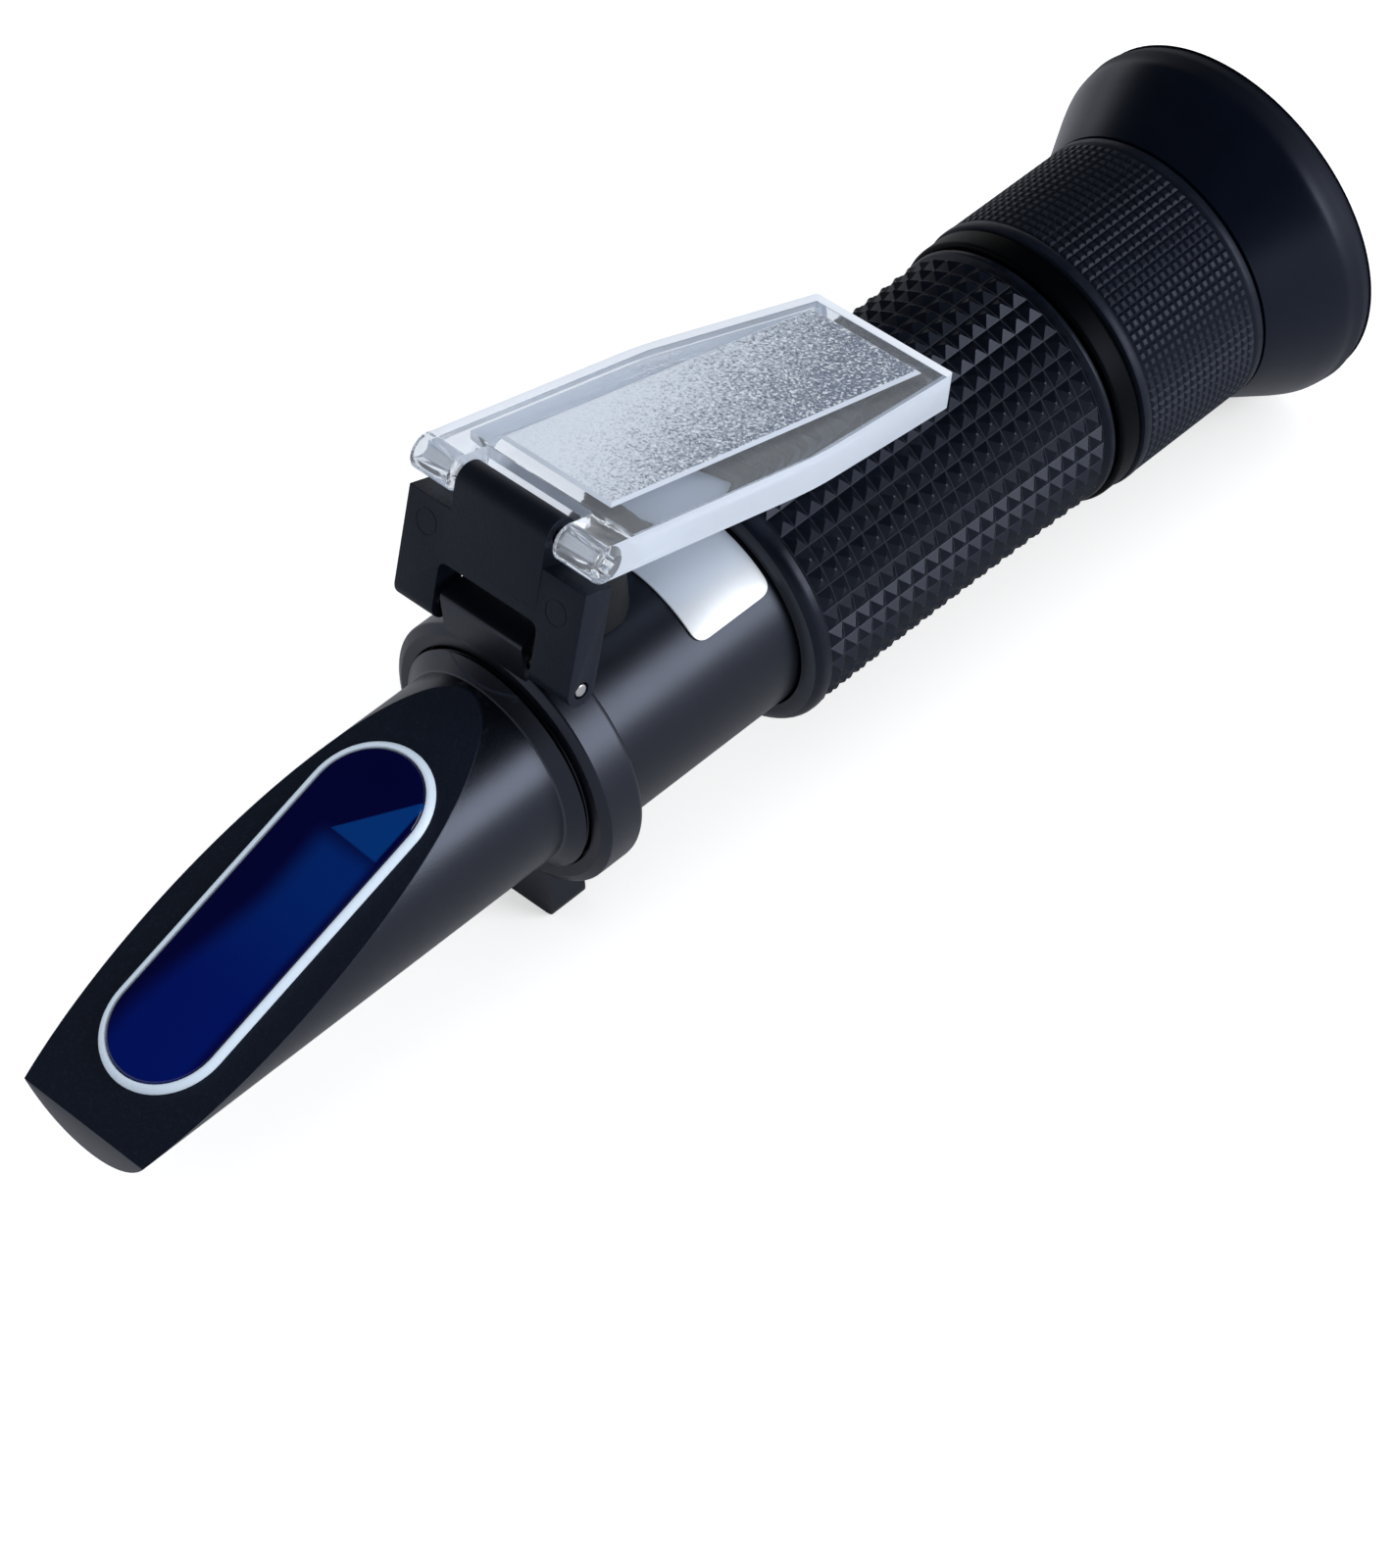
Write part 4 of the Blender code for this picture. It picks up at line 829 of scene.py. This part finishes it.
def makeHingePin():
    low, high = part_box("arm_pin")
    left, right = low.y * 1000, high.y * 1000
    radius, soft = 0.7, 0.25
    section = [(left, 0), (left, radius, soft), (right, radius, soft), (right, 0)]
    bm = latheMesh(softCorners(section, closed=False), 48)
    station, height = collar["hinge"]
    bm.transform(Matrix.Translation((station, 0, height)) @ Matrix.Rotation(math.pi / 2, 4, "Z"))
    fit(newPiece("hingePin", bm, bodyFrame, "steel"), "instrument", "bright_steel", "arm_pin")


def makeTray():
    s = tray
    floor, top, padTop = s["rise"] - s["depth"], s["rise"] - s["margin"], s["rise"] + s["padRise"]
    wide, tip, notch, wall = s["width"] / 2, s["tipWidth"] / 2, s["notchWidth"] / 2, s["wall"]
    straight, end, band, line = s["straight"], s["length"], s["band"], s["line"]
    taper = (wide - tip) / (end - straight)
    start, length, width = s["pad"]

    def sideLine(u, inset):
        return wide - inset - taper * max(0, u - straight)

    def padOutline(spread):
        near, far, side = start - spread, start + length + spread, width / 2 + spread
        return [(near, -side), (far, -side), (far, side), (near, side)]

    edge = [(s["notchDepth"], notch, s["notchCorner"]), (0, notch), (0, wide), (straight, wide, 3.0),
            (end, tip, s["corner"])]
    outline = softCorners(edge + [(p[0], -p[1], *p[2:]) for p in reversed(edge)])
    piece = newPiece("clearTray", slabMesh(outline, floor, top), trayFrame, "clear")
    past = end + 3
    inner = [(s["notchDepth"] + wall, wide - wall), (straight, wide - wall), (past, sideLine(past, wall))]
    inner += [(x, -y) for x, y in reversed(inner)]
    carve(piece, slabMesh(inner, floor - 3, top - s["panel"]), trayFrame)
    for low, high in ((-wide, -notch), (notch, wide)):
        carve(piece, rodMesh((0, 0, 0), s["knuckle"], low, high, "Y", 64), trayFrame, "UNION")
    pad = levelsMesh([(s["slope"], top - 0.4), (s["slope"], top), (0, padTop)], padOutline)
    carve(piece, pad, trayFrame, "UNION")
    carve(piece, rodMesh((0, 0, 0), s["pin"], -20, 20, "Y"), trayFrame)
    easeEdges(piece, s["edge"], 2, 60)
    # A fine line sets the far side and the tip apart from the clear middle
    tipLine, behind = end - band, -s["knuckle"] - 0.5
    groove = [(behind, sideLine(0, band)), (straight, sideLine(0, band)), (tipLine, sideLine(tipLine, band)),
              (tipLine, -wide), (tipLine - line, -wide), (tipLine - line, sideLine(tipLine, band + line)),
              (straight, sideLine(0, band + line)), (behind, sideLine(0, band + line))]
    carve(piece, slabMesh(groove, top - s["lineDepth"], top + 0.15), trayFrame)
    shadeByAngle(piece.data, 30)
    mesh = piece.data
    for finish in ("frost", "side", "band"):
        mesh.materials.append(finishes[finish])
    back = trayFrame.inverted()
    turn = back.to_3x3().normalized()
    # Painted light: the far outer sides and the band take the brighter copy of the glowing edge finish, the
    # near outer sides, the pad's sides and the tip end the dimmer copy
    for face in mesh.polygons:
        u, v, w = back @ face.center
        normal = turn @ face.normal
        spots = [back @ mesh.vertices[index].co for index in face.vertices]
        onBand = normal.z > 0.9 and abs(w - top) < 0.03 and all(
            spot.x > tipLine - line / 2 or spot.y > sideLine(spot.x, band + line / 2) for spot in spots)
        onPad = start - 0.5 < u < start + length + 0.5 and abs(v) < width / 2 + 0.5
        outer = u > 1.5 and abs(v) > sideLine(u, 0.2) and abs(normal.y) > 0.5
        if abs(w - padTop) < 0.02 and onPad:
            face.material_index = 1
        elif onBand or (outer and v > 0):
            face.material_index = 3
        elif (onPad and w > top + 0.02) or outer or (u > end - 0.3 and normal.x > 0.5):
            face.material_index = 2
    fit(piece, "plate", "clear_plastic", "daylight_plate")


# Tube, label and cap

tube = {"start": 54.4, "end": 126.5, "radius": 12.24, "bore": 11.0, "screw": 66.5, "screwHole": 2.9}
label = {"start": 72.6, "length": 10.2, "wrap": 52.0, "inner": 12.34, "outer": 12.54, "corner": 1.6}
cap = {"radius": 5.0, "rise": 6.2, "roof": 2.6, "cavity": 4.1, "round": 0.9, "groove": (2.6, 3.0, 3.3, 3.6),
       "grooveDepth": 0.35, "seat": 12.34}


def makeTube():
    s = tube
    section = [(s["start"], s["radius"], 0.25), (s["end"], s["radius"], 0.2), (s["end"], s["bore"]),
               (s["start"], s["bore"])]
    piece = newPiece("bodyTube", latheMesh(softCorners(section)), bodyFrame, "tube")
    carve(piece, rodMesh((s["screw"], 0, 0), s["screwHole"], 0, 20, "Z"), bodyFrame)
    shadeByAngle(piece.data, 35)
    roundNormals(piece.data, s["radius"])
    fit(piece, "instrument", "satin_black", "main_tube")


def makeLabel():
    # Drawn flat with round corners, then bent round the tube
    s = label
    half = math.radians(s["wrap"]) * s["outer"]
    first, last, corner = s["start"], s["start"] + s["length"], s["corner"]
    outline = [(first, -half, corner), (last, -half, corner), (last, half, corner), (first, half, corner)]
    bm = slabMesh(softCorners(outline, steps=8), s["inner"], s["outer"])
    steps = 48
    for k in range(1, steps):
        y = -half + 2 * half * k / steps
        everything = bm.verts[:] + bm.edges[:] + bm.faces[:]
        bmesh.ops.bisect_plane(bm, geom=everything, plane_co=(0, y, 0), plane_no=(0, 1, 0))
    for vert in bm.verts:
        turn = vert.co.y / s["outer"]
        radius = vert.co.z
        vert.co = (vert.co.x, radius * math.sin(turn), radius * math.cos(turn))
    piece = newPiece("labelPlate", bm, bodyFrame, "label", 40)
    easeEdges(piece, 0.05, 2, 50)
    fit(piece, "instrument", "label_silver", "label_plate")


def makeCap():
    s = cap
    top = tube["radius"] + s["rise"]
    low = math.sqrt(s["seat"] ** 2 - s["radius"] ** 2)
    floor, roof = top - s["grooveDepth"], top - s["roof"]
    a, b, c, d = s["groove"]
    section = [(top, 0), (top, a, 0.2), (floor, b, 0.2), (floor, c, 0.15), (top, d, 0.15),
               (top, s["radius"], s["round"]), (low, s["radius"], 0.1), (low, s["cavity"]),
               (roof, s["cavity"], 0.3), (roof, 0)]
    bm = latheMesh(softCorners(section, closed=False), 96)
    bm.transform(Matrix.Translation((tube["screw"], 0, 0)) @ Matrix.Rotation(-math.pi / 2, 4, "Y"))
    piece = newPiece("screwCap", bm, bodyFrame, "rubber")
    carve(piece, rodMesh((0, 0, 0), s["seat"], 50, 80, "X", 144), bodyFrame)
    shadeByAngle(piece.data, 35)
    fit(piece, "cap", "black_rubber", "calibration_cap")


# Grip and eyepiece end

grip = {"start": 83.3, "end": 126.5, "field": (85.95, 125.3), "rows": 20, "around": 40, "crest": 14.6,
        "waist": 99.0, "swell": 0.32, "depth": 0.65, "tip": 0.045, "front": 12.9, "round": 1.6, "rim": 14.75,
        "rearRim": 14.92, "bore": 12.54}
lockRing = {"start": 126.8, "end": 129.7, "radius": 15.4, "bore": 11.0}
focus = {"start": 130.0, "end": 148.2, "radius": 15.65, "field": (131.3, 146.9), "rows": 16, "around": 88,
         "crest": 15.6, "waist": 130.0, "swell": 0.0, "depth": 0.19, "tip": 0.24, "bore": 11.0,
         "seat": 13.5, "seatStart": 143.7}
cup = {"start": 148.5, "length": 11.5, "base": 15.65, "rim": 20.2, "mouth": 19.25, "lip": 0.45,
       "floor": 150.3, "well": 13.6, "sight": 7.6, "neck": 13.2, "neckBore": 11.6, "neckStart": 144.3,
       "ribs": 5, "ribHeight": 0.22}


def makeGrip(pyramids):
    s = grip
    piece = growSleeve("gripSleeve", pyramids, s, "grip")
    (first, last), start, end, bore, rim = s["field"], s["start"], s["end"], s["bore"], s["rearRim"]
    front = [(first - 0.45, s["rim"] - 0.12), (first - 0.65, s["rim"])]
    for t in range(0, 91, 9):
        t = math.radians(t)
        radius = s["front"] + (s["rim"] - s["front"]) * math.cos(t)
        front.append((start + s["round"] * (1 - math.sin(t)), radius))
    rear = [(last + 0.45, rim - 0.1), (last + 0.65, rim), (end - 0.25, rim), (end - 0.07, rim - 0.07),
            (end, rim - 0.25), (end, bore)]
    closeSleeve(piece, bodyFrame, front + [(start, bore)], rear)
    fit(piece, "instrument", "satin_black", "grip_sleeve")


def makeFocusRing(pyramids):
    s = focus
    piece = growSleeve("focusRing", pyramids, s, "focus")
    (first, last), start, end, bore, rim = s["field"], s["start"], s["end"], s["bore"], s["radius"]
    front = [(first - 0.3, rim - 0.04), (first - 0.42, rim), (start + 0.3, rim), (start + 0.08, rim - 0.08),
             (start, rim - 0.3), (start, bore)]
    rear = [(last + 0.3, rim - 0.04), (last + 0.42, rim), (end - 0.25, rim), (end - 0.07, rim - 0.07),
            (end, rim - 0.25), (end, s["seat"]), (s["seatStart"], s["seat"]), (s["seatStart"], bore)]
    closeSleeve(piece, bodyFrame, front, rear)
    fit(piece, "focus", "satin_black", "focus_ring")


def makeLockRing():
    start, end, radius, bore = lockRing.values()
    section = [(start, radius, 0.5), (end, radius, 0.5), (end, bore, 0.1), (start, bore, 0.1)]
    piece = newPiece("lockRing", latheMesh(softCorners(section, steps=6), 160), bodyFrame, "deep")
    fit(piece, "instrument", "gloss_black", "eyepiece_collar")


def makeCup():
    s = cup
    start, end, mouth, well, floor = s["start"], s["start"] + s["length"], s["mouth"], s["well"], s["floor"]
    flare = ((0.0, 0.0), (0.08, 0.12), (0.24, 0.34), (0.45, 0.63), (0.56, 0.78), (0.67, 0.91), (0.74, 0.957),
             (0.87, 1.0))
    spread = s["rim"] - s["base"]
    section = throughPoints([(start + s["length"] * a, s["base"] + spread * b) for a, b in flare])
    section += softCorners([(end, s["rim"], s["lip"]), (end, mouth, 0.4)], steps=6)
    section += [(end - s["lip"], mouth - 0.06)]
    for rib in range(s["ribs"]):
        for share, lift in ((0.25, 0), (0.38, 0.8), (0.5, 1), (0.62, 0.8), (0.75, 0)):
            way = 1 - (rib + share) / s["ribs"]
            radius = well + (mouth - well) * way - lift * s["ribHeight"]
            section.append((floor + (end - s["lip"] - floor) * way, radius))
    neckStart, neckBore = s["neckStart"], s["neckBore"]
    section += softCorners([(floor, well, 0.4), (floor, s["sight"], 0.4), (start, s["sight"], 0.2),
                            (start, neckBore), (neckStart, neckBore), (neckStart, s["neck"]),
                            (start, s["neck"])])
    piece = newPiece("eyeCup", latheMesh(section, 176), bodyFrame, "gloss", 40)
    fit(piece, "focus", "gloss_black", "eyecup")


def makeEyeLens():
    low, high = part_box("eye_lens")
    front, rear = low.x * 1000 + halfLength, high.x * 1000 + halfLength
    radius, bulge = 8.03, 1.5
    shares = [k / 12 for k in range(13)]
    section = [(front + bulge * t * t, radius * t) for t in shares]
    section += [(rear - bulge * t * t, radius * t) for t in reversed(shares)]
    piece = newPiece("eyeLens", latheMesh(section, 96), bodyFrame, "glass")
    fit(piece, "eyepiece", "optical_glass", "eye_lens")


# Small work

def threadTree():
    # Several starts of one coarse thread round the guide
    sheet, given = newTree("guideThread", ["Radius", "Length", "Turns", "Ridge"], ["Starts"])
    coil = sheet.add("GeometryNodeCurveSpiral", None, {
        "Resolution": 48, "Rotations": given["Turns"], "Start Radius": given["Radius"],
        "End Radius": given["Radius"], "Height": given["Length"]})
    ridge = sheet.add("GeometryNodeCurvePrimitiveCircle", {"mode": "RADIUS"}, {
        "Resolution": 6, "Radius": given["Ridge"]})
    wound = sheet.add("GeometryNodeCurveToMesh", None, {
        "Curve": coil, "Profile Curve": ridge, "Fill Caps": True})
    seats = sheet.add("GeometryNodePoints", None, {"Count": given["Starts"]})
    turn = sheet.add("GeometryNodeInputIndex") / given["Starts"] * (2 * math.pi)
    placed = sheet.add("GeometryNodeInstanceOnPoints", None, {
        "Points": seats, "Instance": wound, "Rotation": sheet.vector(z=turn)})
    endTree(sheet, placed, given["Material"])
    return sheet


def makeThread():
    s = {"start": 131.9, "length": 11.0, "radius": 10.74, "turns": 2.75, "starts": 4, "ridge": 0.15}
    upright = bodyFrame @ Matrix.Translation((s["start"], 0, 0)) @ Matrix.Rotation(math.pi / 2, 4, "Y")
    piece = grow("guideThread", threadTree(), {
        "Radius": s["radius"], "Length": s["length"], "Turns": s["turns"], "Starts": s["starts"],
        "Ridge": s["ridge"], "Material": finishes["anodised"]}, upright, 40)
    fit(piece, "instrument", "black_aluminium")


def tickTree():
    # A row of printed ticks, each fifth one longer
    sheet, given = newTree("scaleTicks", ["Pitch", "Short", "Long", "Thin"], ["Count"])
    line = sheet.add("GeometryNodeMeshLine", None, {
        "Count": given["Count"], "Offset": sheet.vector(z=given["Pitch"])})
    fifth = (sheet.add("GeometryNodeInputIndex") % 5) < 0.5
    reach = given["Short"] + fifth * (given["Long"] - given["Short"])
    tick = sheet.add("GeometryNodeMeshCube", None, {"Size": (1.0, 1.0, 1.0)})
    size = sheet.vector(given["Thin"], reach, given["Thin"])
    placed = sheet.add("GeometryNodeInstanceOnPoints", None, {
        "Points": line, "Instance": tick, "Scale": size})
    endTree(sheet, placed, given["Material"])
    return sheet


def makeScale():
    # The scale on the glass disc, plain ticks and numbers
    s = {"station": 119.56, "count": 33, "pitch": 0.36, "short": 1.0, "long": 1.8, "thin": 0.04,
         "figure": 1.1, "figureSide": 1.3}
    low = -s["pitch"] * (s["count"] - 1) / 2
    placed = bodyFrame @ Matrix.Translation((s["station"], 0, low))
    ticks = grow("scaleTicks", tickTree(), {
        "Count": s["count"], "Pitch": s["pitch"], "Short": s["short"], "Long": s["long"], "Thin": s["thin"],
        "Material": finishes["print"]}, placed)
    fit(ticks, "instrument", "satin_black")
    for value in (0, 10, 20, 30):
        text = bpy.data.curves.new("figure", "FONT")
        text.body = str(value)
        text.size = s["figure"]
        text.extrude = s["thin"] / 2
        text.align_y = "CENTER"
        holder = addObject("figure", text)
        graph = bpy.context.evaluated_depsgraph_get()
        mesh = bpy.data.meshes.new_from_object(holder.evaluated_get(graph))
        bpy.data.objects.remove(holder)
        figure = addObject(f"scaleFigure{value}", mesh)
        place = Matrix.Translation((s["station"], s["figureSide"], low + value * s["pitch"]))
        mesh.transform(bodyFrame @ place @ facingAxis)
        mesh.materials.clear()
        mesh.materials.append(finishes["print"])
        fit(figure, "instrument", "satin_black")


makeNose()
makePrism()
makeBead()
print("nose done")
makeCollar()
makeYoke()
makeHingePin()
makeTray()
print("hinge and tray done")
makeTube()
makeLabel()
makeCap()
print("tube done")
pyramids = pyramidTree()
makeGrip(pyramids)
makeFocusRing(pyramids)
makeLockRing()
makeCup()
makeEyeLens()
print("grip and eyepiece done")
makeThread()
makeScale()

for finish, nodes in {
        "inner": "prism_baffle objective_retainer reticle_retainer lens_spacer eye_lens_retainer",
        "steel": "collar_screw plate_pin strip_screw_front strip_screw_rear",
        "brass": "screw_bush calibration_screw bimetal_strip",
        "rubber": "screw_o_ring eyepiece_o_ring",
        "anodised": "adjusting_slide objective_holder eyepiece_guide eyepiece_tube",
        "glass": "objective_lens reticle_disc field_lens"}.items():
    for node in nodes.split():
        dress(node, finish)
print("small work done")


# Studio

def makeStudio():
    floorPaint = Finish("floorPaper")
    seen = floorPaint.add("ShaderNodeLightPath")
    shown = seen.most(seen["Is Transmission Ray"])
    colour = floorPaint.mix(seen["Is Glossy Ray"], (0.86, 0.87, 0.88), (0.66, 0.68, 0.73))
    floorPaint.finish(colour=colour, roughness=0.9, specular=0.1)
    glow = floorPaint.add("ShaderNodeEmission", None, {"Color": (1.0, 1.0, 1.0), "Strength": shown * 0.50})
    paper = Wire(floorPaint.tree, floorPaint.shader.outputs[0])
    both = floorPaint.add("ShaderNodeAddShader", None, {0: paper, 1: glow})
    feed(floorPaint.tree, floorPaint.tree.nodes["Material Output"].inputs["Surface"], both)
    bm = bmesh.new()
    bm.faces.new([bm.verts.new((x, y, 0)) for x, y in ((-4, -4), (4, -4), (4, 4), (-4, 4))])
    mesh = bpy.data.meshes.new("floor")
    bm.to_mesh(mesh)
    bm.free()
    mesh.materials.append(floorPaint.material)
    floor = addObject("floor", mesh)
    world = bpy.data.worlds.new("studio")
    bpy.context.scene.world = world
    world.use_nodes = True
    sky = Sheet(world.node_tree)
    path = sky.add("ShaderNodeLightPath")
    around = sky.add("ShaderNodeTexCoord", output="Generated")
    # Mirrored in the object, the sky is white near the horizon and dark overhead
    low = sky.between(sky.add("ShaderNodeSeparateXYZ", None, {0: around})["Z"], 0.40, 0.02)
    seen = path.most(path["Is Transmission Ray"])
    mirrored = path["Is Glossy Ray"] * (low * 0.98 + 0.02)
    strength = seen.most(mirrored).most(path["Is Diffuse Ray"] * 0.72)
    for node in world.node_tree.nodes:
        if node.type == "BACKGROUND":
            node.inputs["Color"].default_value = (1, 1, 1, 1)
            feed(world.node_tree, node.inputs["Strength"], strength)


def softLight(name, place, size, power):
    light = bpy.data.lights.new(name, "AREA")
    light.shape = "RECTANGLE"
    light.size, light.size_y = size
    light.energy = power
    lamp = addObject(name, light)
    lamp.location = place
    lamp.rotation_euler = (Vector((0, 0, 0.02)) - Vector(place)).to_track_quat("-Z", "Y").to_euler()


def makeCamera():
    data = bpy.data.cameras.new("camera")
    data.lens = 128.453  # on a sensor of 36 mm along the long side
    camera = addObject("camera", data)
    right = (0.70556, -0.70438, -0.07765)
    up = (0.54263, 0.46653, 0.69851)
    back = (-0.45579, -0.53497, 0.71138)
    place = (-0.259377, -0.303045, 0.400494)
    rows = [(*row, spot) for row, spot in zip(zip(right, up, back), place)]
    camera.matrix_world = Matrix(rows + [(0, 0, 0, 1)])
    data.clip_start, data.clip_end = 0.01, 50
    bpy.context.scene.camera = camera


makeStudio()
softLight("keyLight", (0.40, -0.75, 0.33), (0.5, 0.46), 4.9)
makeCamera()
bpy.context.scene.view_settings.view_transform = "Standard"
print("studio done")
